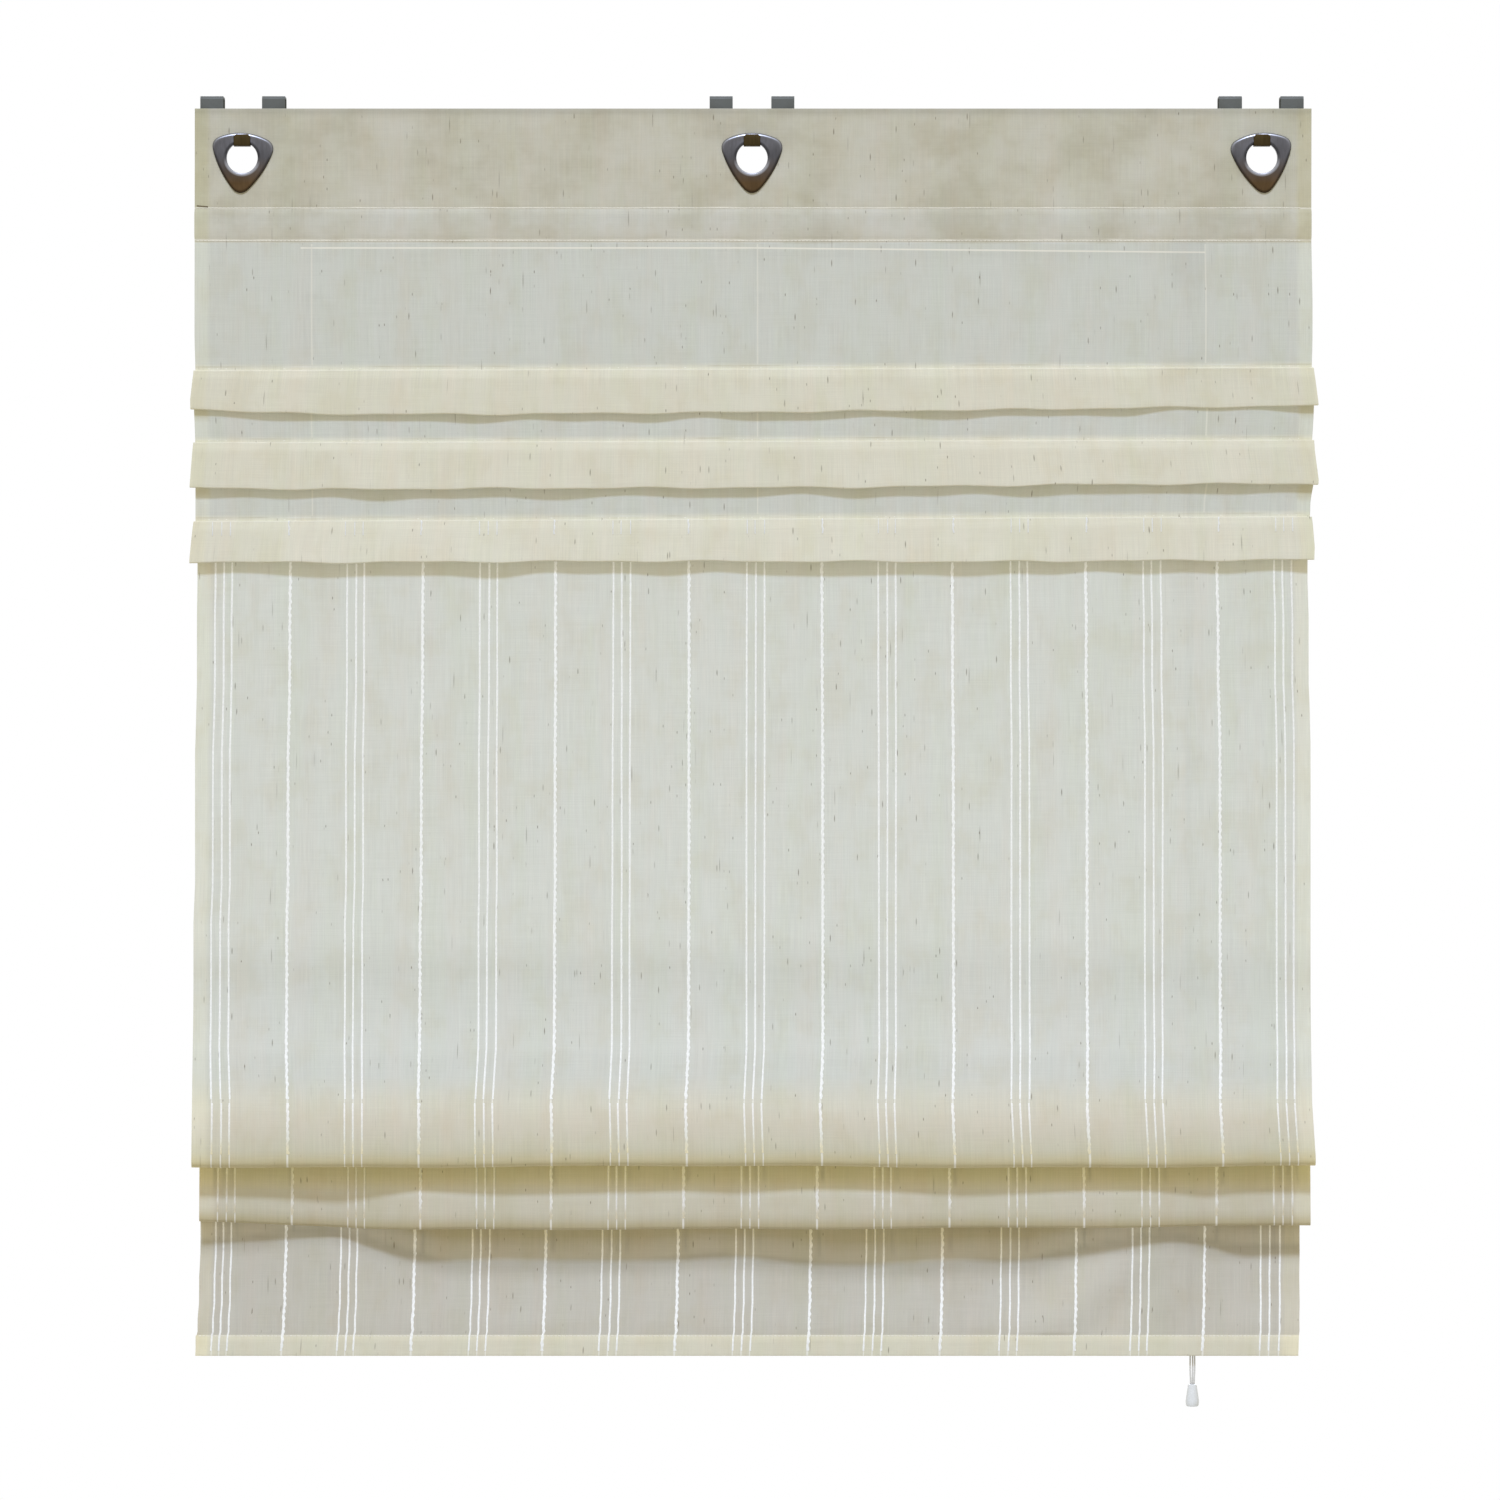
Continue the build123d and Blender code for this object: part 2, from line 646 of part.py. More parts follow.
# Housing of the cord lock: a flange on the batten and a hollow body with slanted slots for the roller
roller_dx = roller_travel * sin(radians(roller_slant))
roller_dz = -roller_travel * cos(radians(roller_slant))
slot_w = 2 * (roller_journal_r + slip_gap)
lock_depth = lock_room + 2 * lock_wall
lock_mid_z = (lock_top_z + lock_low_z) / 2
lock_left_x = lock_right_x - lock_w
with BuildPart() as cord_lock_housing:
    with BuildSketch(Plane.XZ.offset(-lock_y)):
        with Locations((lock_x, lock_mid_z)):
            Rectangle(lock_w, lock_h)
    extrude(amount=-lock_depth)
    chamfer(cord_lock_housing.faces().sort_by(Axis.Y)[-1].edges(), lock_corner)
    with BuildSketch(Plane.XZ.offset(-lock_y)):
        with Locations((lock_x, lock_top_z + lock_flange_h / 2)):
            Rectangle(lock_w, lock_flange_h)
        with Locations(*screw_places):
            RegularPolygon(lock_screw_r + slip_gap, small_side_count, mode=Mode.SUBTRACT)
    extrude(amount=-lock_flange_t)
    with BuildSketch(Plane.XZ.offset(-lock_y - lock_wall)):
        with BuildLine():
            Polyline(
                (sill_x, sill_z + sill_r),
                (lock_left_x - overrun, sill_z + sill_r),
                (lock_left_x - overrun, room_top_z),
                (room_right_x, room_top_z),
                (room_right_x, lock_low_z - overrun),
                (sill_x + sill_r, lock_low_z - overrun),
                (sill_x + sill_r, sill_z),
            )
            RadiusArc((sill_x + sill_r, sill_z), (sill_x, sill_z + sill_r), -sill_r)
        make_face()
        with Locations((columns[2] - pin_bend_r, pin_z)):
            RegularPolygon(pin_r, round_side_count, mode=Mode.SUBTRACT)
    extrude(amount=-lock_room, mode=Mode.SUBTRACT)
    with BuildSketch(Plane.XZ.offset(-lock_y + overrun)):
        with Locations((roller_x + roller_dx / 2, roller_z + roller_dz / 2)):
            Rectangle(roller_travel + slot_w, slot_w, rotation=roller_slant - 90)
    extrude(amount=-lock_depth - 2 * overrun, mode=Mode.SUBTRACT)
keep(cord_lock_housing, "cord_lock_housing")

# Loose roller that jams the strands, with a journal at each end
with BuildPart() as cord_lock_roller:
    with BuildSketch(Plane.XZ.offset(-lock_y - lock_wall - seat_gap)):
        with Locations((roller_x, roller_z)):
            RegularPolygon(roller_r, round_side_count)
    extrude(amount=-lock_room + 2 * seat_gap)
    with BuildSketch(Plane.XZ.offset(-lock_y - slip_gap)):
        with Locations((roller_x, roller_z)):
            RegularPolygon(roller_journal_r, small_side_count)
    extrude(amount=-lock_depth + 2 * slip_gap)
keep(cord_lock_roller, "cord_lock_roller")

# Screws through the flange into the batten
screw_head_y = lock_y + lock_flange_t
with BuildPart() as lock_screws:
    with BuildSketch(Plane.XZ.offset(-screw_head_y)):
        with Locations(*screw_places):
            RegularPolygon(lock_screw_r, small_side_count)
    extrude(amount=screw_head_y - batten_y - cloth_t)
    with BuildSketch(Plane.XZ.offset(-screw_head_y)):
        with Locations(*screw_places):
            RegularPolygon(lock_screw_head_r, round_side_count)
    extrude(amount=-lock_screw_head_t)
keep(lock_screws, "lock_screws")

# Pull: a hollow drop that hides the knot of the three strands
pull_x = left_strand_x + pull_shift
pull_top_z = hem_z - pull_drop
strand_pitch = 2 * cord_r + slip_gap
neck_hole_r = strand_pitch + cord_r + cord_gap
room_r = pull_knot_r + seat_gap
strand_end_z = pull_top_z - pull_neck_h
room_low_r = pull_r - pull_wall
pull_outline = [(r_share * pull_r, z_share * pull_h) for r_share, z_share in pull_outline_shares]
pull_room = [
    (room_r, pull_neck_h),
    (room_low_r, pull_widest_share * pull_h),
    (room_low_r, pull_h + overrun),
]
flat_share = cos(radians(180 / round_side_count))
with BuildPart() as pull_pendant:
    for outline, mode in ((pull_outline, Mode.ADD), (pull_room, Mode.SUBTRACT)):
        for (top_r, top_drop), (low_r, low_drop) in zip(outline, outline[1:]):
            height = low_drop - top_drop
            with BuildSketch(Plane.XY.offset(pull_top_z - low_drop)):
                with Locations((pull_x, cord_y)):
                    RegularPolygon(low_r, round_side_count)
            extrude(amount=height, taper=degrees(atan((low_r - top_r) * flat_share / height)), mode=mode)
    with BuildSketch(Plane.XY.offset(pull_top_z - pull_neck_h)):
        with Locations((pull_x, cord_y)):
            RegularPolygon(neck_hole_r, round_side_count, major_radius=False)
    extrude(amount=pull_neck_h + overrun, mode=Mode.SUBTRACT)
keep(pull_pendant, "pull_pendant")

with BuildPart() as pull_knot:
    with BuildSketch(Plane.XY.offset(pull_top_z - pull_neck_h - slip_gap - pull_knot_h)):
        with Locations((pull_x, cord_y)):
            RegularPolygon(pull_knot_r, round_side_count)
    extrude(amount=pull_knot_h)
keep(pull_knot, "pull_knot")

for name, strand_x, place in (
    ("left", left_strand_x, 0),
    ("middle", middle_strand_x, -1),
    ("right", right_strand_x, 1),
):
    with BuildLine(cord_plane) as strand:
        Line((strand_x, strand_top_z), (pull_x + place * strand_pitch, strand_end_z))
    keep(tube(strand.line, small_side_count), f"pull_cord_{name}")
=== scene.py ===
import json
import math

import bmesh
import bpy
import numpy as np
from bpy.props import FloatProperty, FloatVectorProperty, PointerProperty
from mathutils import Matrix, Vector

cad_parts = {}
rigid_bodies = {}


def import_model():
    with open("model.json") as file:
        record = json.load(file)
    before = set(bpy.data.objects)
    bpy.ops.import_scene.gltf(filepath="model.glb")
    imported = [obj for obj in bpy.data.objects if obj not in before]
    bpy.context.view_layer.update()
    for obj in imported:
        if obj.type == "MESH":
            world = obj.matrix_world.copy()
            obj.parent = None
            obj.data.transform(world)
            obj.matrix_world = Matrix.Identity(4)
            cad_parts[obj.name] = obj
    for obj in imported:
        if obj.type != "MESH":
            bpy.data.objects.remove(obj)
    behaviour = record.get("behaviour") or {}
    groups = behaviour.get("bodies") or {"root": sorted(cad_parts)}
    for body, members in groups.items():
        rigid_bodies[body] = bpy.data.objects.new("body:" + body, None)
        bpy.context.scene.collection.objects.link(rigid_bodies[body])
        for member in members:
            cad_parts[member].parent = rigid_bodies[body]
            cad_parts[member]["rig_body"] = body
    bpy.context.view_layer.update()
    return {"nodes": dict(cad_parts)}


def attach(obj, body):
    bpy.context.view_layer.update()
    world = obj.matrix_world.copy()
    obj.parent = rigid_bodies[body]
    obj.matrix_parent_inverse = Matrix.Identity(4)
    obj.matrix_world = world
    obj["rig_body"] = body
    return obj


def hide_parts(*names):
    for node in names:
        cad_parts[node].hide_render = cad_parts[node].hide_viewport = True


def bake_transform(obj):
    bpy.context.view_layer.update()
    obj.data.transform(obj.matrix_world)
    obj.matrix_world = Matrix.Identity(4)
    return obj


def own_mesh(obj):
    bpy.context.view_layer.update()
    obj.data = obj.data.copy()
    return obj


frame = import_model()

bl_info = {
    "name": "Roman Blind",
    "version": (1, 0, 0),
    "blender": (4, 5, 0),
    "location": "View3D > Sidebar > Blind",
    "description": "Dresses the packed roman blind with cloth, stripes, eyelets, rings and cords",
    "category": "Object",
}

MERGE = 0.00001
SIDES = ("left", "middle", "right")

# Places that repeat the part's own, in metres
HANGER_XS = (-0.458, 0.0, 0.458)
CORD_COLUMNS = (-0.395, 0.005, 0.405)
EYELET_Z = -0.0277
FRONT_Y = -0.00585
HEADER_BACK_Y = -0.00505
POCKET_BACK_Y = -0.00125
CLOTH_TOP_Z = 0.0168
POCKET_TOP_Z = -0.0726
POCKET_LOW_Z = -0.1022
POCKET_SLOPE = 0.0042
TUCK_SEAMS = (-0.2172, -0.28189, -0.3524)
TUCK_DEPTHS = (0.03534, 0.04104, 0.038)
PANEL_TOP_Z = -0.3604
BOW_Z = -0.793
FOLD_LINE_Y = -0.0249
FOLD_LINE_Z = -0.876
FOLD_1_Y = -0.03785
FOLD_1_Z = -0.9324
FOLD_2_Z = -0.9836
CREST_1_STEP = 0.0011
CREST_2_Z = -0.885
HEM_Z = -1.104
HEM_BACK_Y = -0.00225
RING_Y = 0.0017
RING_ROWS = {1: -0.1494, 2: -0.3574, 3: -0.5654, 4: -0.7734, 5: -0.878}
RING_ROW_6_Z = -0.88985
GUIDE_RINGS = {"left": (-0.395336, -0.107664), "middle": (0.004664, -0.109664)}
PULL_X = 0.3961
PULL_TOP_Z = -1.13
HEM_STRIPE_PITCH = 0.12


def paint(red, green, blue):
    """Linear colour from the eight-bit values of a screen."""
    levels = [level / 255 for level in (red, green, blue)]
    return tuple(v / 12.92 if v <= 0.04045 else ((v + 0.055) / 1.055) ** 2.4 for v in levels)


def length(label, text, default):
    """A size in metres that a user may change."""
    return FloatProperty(name=label, description=text, default=default, min=0.0, unit="LENGTH", precision=5)


def tone(label, text, red, green, blue):
    """A colour that a user may change."""
    return FloatVectorProperty(
        name=label, description=text, subtype="COLOR", size=3, min=0.0, max=1.0, default=paint(
            red, green, blue,
        )
    )


class BlindSizes(bpy.types.PropertyGroup):
    """Sizes of the blind's soft parts."""

    half_width: length("Half width", "From the middle to a side edge", 0.5)
    cloth: length("Cloth", "Thickness of one layer", 0.0004)
    side_hem: length("Side hem", "Width of the turned side hems", 0.015)
    hem: length("Hem", "Height of the bottom hem", 0.018)
    tuck_reach: length("Tuck reach", "How far a tuck stands in front of the cloth", 0.0062)
    column: length("Column", "Spacing of the cloth's columns of faces", 0.005)
    fine_line: length("Fine line", "Width of a line in a group of three", 0.0017)
    single_line: length("Single line", "Width of a line that stands alone", 0.0028)
    fine_pitch: length("Fine pitch", "Spacing of the lines in a group", 0.0078)
    cord: length("Cord", "Diameter of a cord", 0.0014)
    eyelet: length("Eyelet hole", "Radius of the hole in an eyelet", 0.014)


class BlindColours(bpy.types.PropertyGroup):
    """Colours of the blind's finishes."""

    single: tone("Single cloth", "One layer of cloth", 209, 211, 204)
    upper: tone("Upper cloth", "One layer below the pocket", 201, 203, 196)
    header: tone("Header", "Layers of the header", 197, 195, 181)
    pocket: tone("Pocket", "Layers over the batten", 203, 202, 191)
    tuck: tone("Tuck", "Layers of a tuck", 215, 213, 198)
    fold: tone("Fold", "Layers where the panel folds", 204, 201, 186)
    # The bottom flap is one layer like the panel but set darker: painted shade
    flap: tone("Bottom flap", "Cloth of the bottom flap", 188, 185, 174)
    hem: tone("Hem", "Layers of a hem", 210, 207, 189)
    warm: tone("Warm thread", "Warm threads in the weave", 196, 184, 150)
    slub: tone("Slub", "Dark flecks in the weave", 96, 84, 62)
    stripe: tone("Stripe", "Raised white yarn", 246, 247, 245)
    nickel: tone("Nickel", "Upper part of an eyelet", 100, 99, 102)
    # Colour of the painted reflection that the eyelet darkens to at its lower part
    tip: tone("Nickel tip", "Lower part of an eyelet", 86, 68, 46)
    # Colour of the painted highlight on an eyelet's edges
    painted_edge_light: tone("Nickel edge", "Polished edges of an eyelet", 148, 148, 152)
    tab: tone("Hanger", "Grey hanger sheet", 80, 83, 80)
    bronze: tone("Hook", "Dark bronze hook", 60, 49, 27)
    plastic: tone("Plastic", "White moulded plastic", 224, 225, 222)
    pull: tone("Pull", "Moulded pull", 206, 208, 207)
    thread: tone("Thread", "Sewing thread", 226, 224, 214)
    yarn: tone("Cord", "Braided cord", 208, 207, 202)
    wood: tone("Batten", "Wooden batten", 206, 184, 148)
    bar: tone("Hem bar", "Aluminium bar", 198, 199, 200)


def sizes():
    return bpy.context.scene.blind_sizes


def colours():
    return bpy.context.scene.blind_colours


# Helpers for objects


def clear_selection():
    """Leave edit mode and deselect everything."""
    if bpy.context.mode != "OBJECT":
        bpy.ops.object.mode_set(mode="OBJECT")
    bpy.ops.object.select_all(action="DESELECT")


def active(piece):
    """Make one object the only selected one."""
    clear_selection()
    piece.select_set(True)
    bpy.context.view_layer.objects.active = piece
    return piece


def settle(piece, name):
    """Name a piece and put its place into its mesh."""
    active(piece)
    piece.name = name
    piece.data.name = name
    bpy.ops.object.transform_apply(location=True, rotation=True, scale=True)
    return piece


def join(pieces, name):
    """One object from several."""
    clear_selection()
    for piece in pieces:
        piece.select_set(True)
    bpy.context.view_layer.objects.active = pieces[0]
    if len(pieces) > 1:
        bpy.ops.object.join()
    return settle(bpy.context.view_layer.objects.active, name)


def apply_all(piece):
    """Apply every modifier."""
    active(piece)
    for modifier in list(piece.modifiers):
        bpy.ops.object.modifier_apply(modifier=modifier.name)


def paint_piece(piece, material):
    piece.data.materials.clear()
    piece.data.materials.append(material)


def smooth(piece, degrees=35):
    active(piece)
    bpy.ops.object.shade_smooth_by_angle(angle=math.radians(degrees))


def edit_all(piece):
    """Enter edit mode with all of a piece selected."""
    active(piece)
    bpy.ops.object.mode_set(mode="EDIT")
    bpy.ops.mesh.select_all(action="SELECT")


def linked(name, data):
    """A new object in the scene."""
    piece = bpy.data.objects.new(name, data)
    bpy.context.scene.collection.objects.link(piece)
    return piece


def dressed(node, name, material, bevel=0.0003, segments=2):
    """Copy of a CAD node with its triangles merged into faces and its edges eased."""
    source = frame["nodes"][node]
    piece = linked(name, source.data.copy())
    edit_all(piece)
    bpy.ops.mesh.remove_doubles(threshold=MERGE)
    bpy.ops.mesh.dissolve_limited(angle_limit=math.radians(1))
    bpy.ops.object.mode_set(mode="OBJECT")
    if bevel:
        ease = piece.modifiers.new("Ease", "BEVEL")
        ease.width = bevel
        ease.segments = segments
        ease.limit_method = "ANGLE"
        ease.angle_limit = math.radians(40)
        ease.harden_normals = False
        apply_all(piece)
    paint_piece(piece, material)
    smooth(piece)
    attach(piece, source["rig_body"])
    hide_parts(node)
    return piece


# Materials


def new_material(name):
    material = bpy.data.materials.new(name)
    material.use_nodes = True
    tree = material.node_tree
    tree.nodes.clear()
    return material, tree


def add_node(tree, kind, **values):
    """A node with its settings and unlinked inputs."""
    node = tree.nodes.new(kind)
    for key, value in values.items():
        if key in node.inputs:
            node.inputs[key].default_value = value
        else:
            setattr(node, key, value)
    return node


def link(tree, source, target):
    tree.links.new(source, target)


def ramp(tree, source, stops):
    """Colour ramp from (place, colour) stops."""
    node = tree.nodes.new("ShaderNodeValToRGB")
    elements = node.color_ramp.elements
    for index, (place, colour) in enumerate(stops):
        element = elements[index] if index < len(elements) else elements.new(place)
        element.position = place
        element.color = (*colour, 1.0) if len(colour) == 3 else colour
    link(tree, source, node.inputs["Fac"])
    return node.outputs["Color"]


def grey(level):
    return (level, level, level)


def greys(tree, source, *stops):
    """Grey ramp from (place, level) stops."""
    return ramp(tree, source, [(place, grey(level)) for place, level in stops])


def stretched(tree, vector, scale):
    """Vector scaled apart along its axes."""
    node = add_node(tree, "ShaderNodeMapping")
    node.inputs["Scale"].default_value = scale
    link(tree, vector, node.inputs["Vector"])
    return node.outputs["Vector"]


def noise(tree, vector, scale, detail=2.0, rough=0.5):
    """Noise with a scale of its own along each axis."""
    node = add_node(tree, "ShaderNodeTexNoise", Scale=1.0, Detail=detail, Roughness=rough)
    link(tree, stretched(tree, vector, scale), node.inputs["Vector"])
    return node.outputs["Fac"]


def mixed(tree, kind, first, second, factor):
    """Colour mix; factor, first and second are sockets or plain values."""
    node = tree.nodes.new("ShaderNodeMix")
    node.data_type = "RGBA"
    node.blend_type = kind
    for socket, value in ((node.inputs[0], factor), (node.inputs[6], first), (node.inputs[7], second)):
        if isinstance(value, bpy.types.NodeSocket):
            link(tree, value, socket)
        elif isinstance(value, tuple):
            socket.default_value = (*value[:3], 1.0)
        else:
            socket.default_value = value
    return node.outputs[2]


def figured(tree, operation, first, second):
    """One step of arithmetic."""
    node = add_node(tree, "ShaderNodeMath", operation=operation)
    for socket, value in zip(node.inputs, (first, second)):
        if isinstance(value, bpy.types.NodeSocket):
            link(tree, value, socket)
        else:
            socket.default_value = value
    return node.outputs[0]


def product(tree, first, second):
    return figured(tree, "MULTIPLY", first, second)


def between(tree, value, low, high):
    """Mask that is 1 where a value lies between two others."""
    return product(tree, figured(tree, "GREATER_THAN", value, low), figured(tree, "LESS_THAN", value, high))


def parts_of(tree, vector):
    """X, Y and Z of a vector."""
    node = add_node(tree, "ShaderNodeSeparateXYZ")
    link(tree, vector, node.inputs[0])
    return node.outputs


def shown(material, shader):
    """The material, with a shader as its surface."""
    out = add_node(material.node_tree, "ShaderNodeOutputMaterial")
    link(material.node_tree, shader.outputs[0], out.inputs["Surface"])
    return material


def bumped(tree, height, strength, distance):
    node = add_node(tree, "ShaderNodeBump", Strength=strength, Distance=distance)
    link(tree, height, node.inputs["Height"])
    return node.outputs["Normal"]


def line_at(tree, value, place, half):
    """Soft mask that is 1 where a value is within half a width of a place."""
    away = figured(tree, "ABSOLUTE", figured(tree, "SUBTRACT", value, place), 0.0)
    return greys(tree, product(tree, away, 0.5 / half), (0.35, 1.0), (0.65, 0.0))


def cord_shine(tree, uv):
    """Mask of the cords that show through one layer of the upper cloth."""
    parts = parts_of(tree, uv)
    across, run = parts["X"], parts["Y"]
    mask = 0.0
    for place in CORD_COLUMNS:
        mask = figured(tree, "MAXIMUM", line_at(tree, across, place, CORD_SHINE_HALF), mask)
    mask = product(tree, mask, 0.5)
    inside = figured(tree, "LESS_THAN", figured(tree, "ABSOLUTE", across, 0.0), CORD_COLUMNS[-1])
    for z in HEAD_CORD_LEVELS:
        fall = product(tree, figured(tree, "MAXIMUM", across, 0.0), CORD_FALL)
        level = line_at(tree, figured(tree, "SUBTRACT", run, fall), upper_run(z), CORD_SHINE_HALF)
        mask = figured(tree, "MAXIMUM", product(tree, level, inside), mask)
    return mask


def seam_lines(tree, uv):
    """Mask of the two slightly wavy seams along the pocket."""
    parts = parts_of(tree, uv)
    wave = noise(tree, uv, (26.0, 2.0, 1.0), 2.0)
    sway = product(tree, figured(tree, "SUBTRACT", wave, 0.5), SEAM_WAVE)
    run = figured(tree, "ADD", parts["Y"], sway)
    top = line_at(tree, run, upper_run(POCKET_TOP_Z), SEAM_HALF)
    low = line_at(tree, run, upper_run(POCKET_LOW_Z + 0.001), SEAM_HALF)
    broken = greys(tree, noise(tree, uv, (70.0, 2.0, 1.0), 2.0), (0.3, 0.35), (0.6, 1.0))
    return product(tree, figured(tree, "MAXIMUM", top, low), broken)


def stripe_lines(tree, uv):
    """Mask of the woven stripes, which repeat over the width."""
    parts = parts_of(tree, uv)
    away = figured(tree, "PINGPONG", figured(tree, "ABSOLUTE", parts["X"], 0.0), HEM_STRIPE_PITCH / 2)
    mask = line_at(tree, away, HEM_STRIPE_PITCH / 2, 0.32 * sizes().single_line)
    for place in (0.0, sizes().fine_pitch):
        mask = figured(tree, "MAXIMUM", line_at(tree, away, place, 0.32 * sizes().fine_line), mask)
    return mask


def flecked(tree, uv, weave, scale, most, strength):
    """The weave with a few short dark threads."""
    cells = add_node(tree, "ShaderNodeTexVoronoi", Scale=1.0, Randomness=1.0)
    cells.voronoi_dimensions = "2D"
    link(tree, stretched(tree, uv, scale), cells.inputs["Vector"])
    pick = add_node(tree, "ShaderNodeSeparateColor")
    link(tree, cells.outputs["Color"], pick.inputs["Color"])
    chosen = figured(tree, "GREATER_THAN", pick.outputs["Red"], most)
    near = greys(tree, cells.outputs["Distance"], (0.14, 1.0), (0.34, 0.0))
    depth = product(tree, product(tree, near, pick.outputs["Green"]), strength)
    return mixed(tree, "MIX", weave, tuple(colours().slub), product(tree, depth, chosen))


def cloth_material():
    """Semi-sheer weave: threads, tinted columns, warm patches and dark flecks over the tone at each point,
    which also carries painted shadows, shade and light.
    """
    found = bpy.data.materials.get("blind_cloth")
    if found:
        return found
    shades = colours()
    material, tree = new_material("blind_cloth")
    uv = add_node(tree, "ShaderNodeUVMap", uv_map="weave").outputs["UV"]
    own = add_node(tree, "ShaderNodeAttribute", attribute_name="tone")
    # Threads down and across
    down = noise(tree, uv, (1500.0, 26.0, 1.0), 2.0)
    across = noise(tree, uv, (22.0, 1400.0, 1.0), 2.0)
    streak = noise(tree, uv, (330.0, 7.0, 1.0), 3.0, 0.6)
    threads = figured(tree, "ADD", product(tree, down, 0.6), product(tree, across, 0.4))
    weave = mixed(
        tree, "MULTIPLY", own.outputs["Color"], greys(tree, threads, (0.3, 0.92), (0.7, 1.06)), 0.9,
    )
    weave = mixed(tree, "MULTIPLY", weave, greys(tree, streak, (0.3, 0.982), (0.7, 1.014)), 1.0)
    # Columns that lean to pink or to olive, and warm patches
    lean = noise(tree, uv, (46.0, 3.5, 1.0), 3.0, 0.6)
    tint = ramp(tree, lean, [(0.34, (0.985, 0.995, 0.968)), (0.5, grey(1.0)), (0.66, (1.012, 0.994, 0.99))])
    weave = mixed(tree, "MULTIPLY", weave, tint, 1.0)
    patch = noise(tree, uv, (9.0, 7.0, 1.0), 4.0, 0.65)
    weave = mixed(tree, "MIX", weave, tuple(shades.warm), greys(tree, patch, (0.5, 0.0), (0.78, 0.1)))
    blotch = noise(tree, uv, (34.0, 24.0, 1.0), 3.0, 0.6)
    tint = ramp(
        tree, blotch, [(0.36, (0.978, 0.968, 0.94)), (0.5, grey(1.0)), (0.64, (1.008, 1.012, 1.02))],
    )
    weave = mixed(tree, "MULTIPLY", weave, tint, 1.0)
    kind = own.outputs["Alpha"]
    inside = between(tree, kind, 0.4, 0.6)
    cloud = noise(tree, uv, (13.0, 16.0, 1.0), 4.0, 0.6)
    tint = ramp(tree, cloud, [(0.36, (0.905, 0.89, 0.85)), (0.5, grey(1.0)), (0.64, (1.045, 1.055, 1.095))])
    weave = mixed(tree, "MULTIPLY", weave, tint, inside)
    for scale, most, strength in FLECKS:
        weave = flecked(tree, uv, weave, scale, most, strength)
    # Cords behind one layer, seams of the pocket, and stripes that show on both faces
    for mask, low, high, strength, tint in (
        (cord_shine(tree, uv), 0.7, 1.3, 0.9, shades.thread),
        (seam_lines(tree, uv), 0.4, 0.6, 0.85, shades.thread),
        (stripe_lines(tree, uv), 0.2, 0.3, 0.45, shades.stripe),
    ):
        inside = between(tree, kind, low, high)
        share = product(tree, product(tree, mask, inside), strength)
        weave = mixed(tree, "MIX", weave, tuple(tint), share)
    body = add_node(tree, "ShaderNodeBsdfPrincipled", Roughness=0.88)
    body.inputs["Specular IOR Level"].default_value = 0.2
    body.inputs["Sheen Weight"].default_value = 0.05
    body.inputs["Sheen Roughness"].default_value = 0.5
    link(tree, weave, body.inputs["Base Color"])
    link(tree, bumped(tree, threads, 0.35, 0.0003), body.inputs["Normal"])
    through = add_node(tree, "ShaderNodeBsdfTranslucent")
    link(tree, mixed(tree, "MULTIPLY", weave, (1.0, 0.96, 0.86), 1.0), through.inputs["Color"])
    lit = add_node(tree, "ShaderNodeMixShader", Fac=0.17)
    link(tree, body.outputs[0], lit.inputs[1])
    link(tree, through.outputs[0], lit.inputs[2])
    # Lamps reach through the open weave, warmer with each layer
    sheer = add_node(tree, "ShaderNodeBsdfTransparent")
    sheer.inputs["Color"].default_value = (*SHEER, 1.0)
    surface = add_node(tree, "ShaderNodeMixShader")
    link(tree, add_node(tree, "ShaderNodeLightPath").outputs["Is Shadow Ray"], surface.inputs["Fac"])
    link(tree, lit.outputs[0], surface.inputs[1])
    link(tree, sheer.outputs[0], surface.inputs[2])
    return shown(material, surface)


SHEER = (0.78, 0.735, 0.65)
CORD_SHINE_HALF = 0.0007
CORD_FALL = 0.01
HEAD_CORD_LEVELS = (-0.1085,)
SEAM_HALF = 0.0007
SEAM_WAVE = 0.0022
# Scale of the cells, share of plain cells, and strength
FLECKS = (
    ((640.0, 190.0, 1.0), 0.992, 0.72), ((520.0, 84.0, 1.0), 0.988, 0.66),
    ((560.0, 36.0, 1.0), 0.992, 0.44),
)


EVEN_GRAIN = (400.0, 400.0, 400.0)
ROUGH_SPREAD = 0.06
ROUGH_LEAST = 0.03


def plain_material(name, colour, rough, metal=0.0, grain=EVEN_GRAIN, depth=0.06, bump=0.05, coat=0.0):
    """Finish with a fine grain in its colour, roughness and bump."""
    found = bpy.data.materials.get(name)
    if found:
        return found
    material, tree = new_material(name)
    place = add_node(tree, "ShaderNodeTexCoord").outputs["Object"]
    speck = noise(tree, place, grain, 3.0)
    low, high = 1.0 - depth, 1.0 + depth
    tint = mixed(tree, "MULTIPLY", tuple(colour), greys(tree, speck, (0.3, low), (0.7, high)), 1.0)
    body = add_node(tree, "ShaderNodeBsdfPrincipled", Metallic=metal)
    link(tree, tint, body.inputs["Base Color"])
    low, high = max(rough - ROUGH_SPREAD, ROUGH_LEAST), rough + ROUGH_SPREAD
    link(tree, greys(tree, speck, (0.3, low), (0.7, high)), body.inputs["Roughness"])
    body.inputs["Coat Weight"].default_value = coat
    link(tree, bumped(tree, speck, bump, 0.0002), body.inputs["Normal"])
    return shown(material, body)


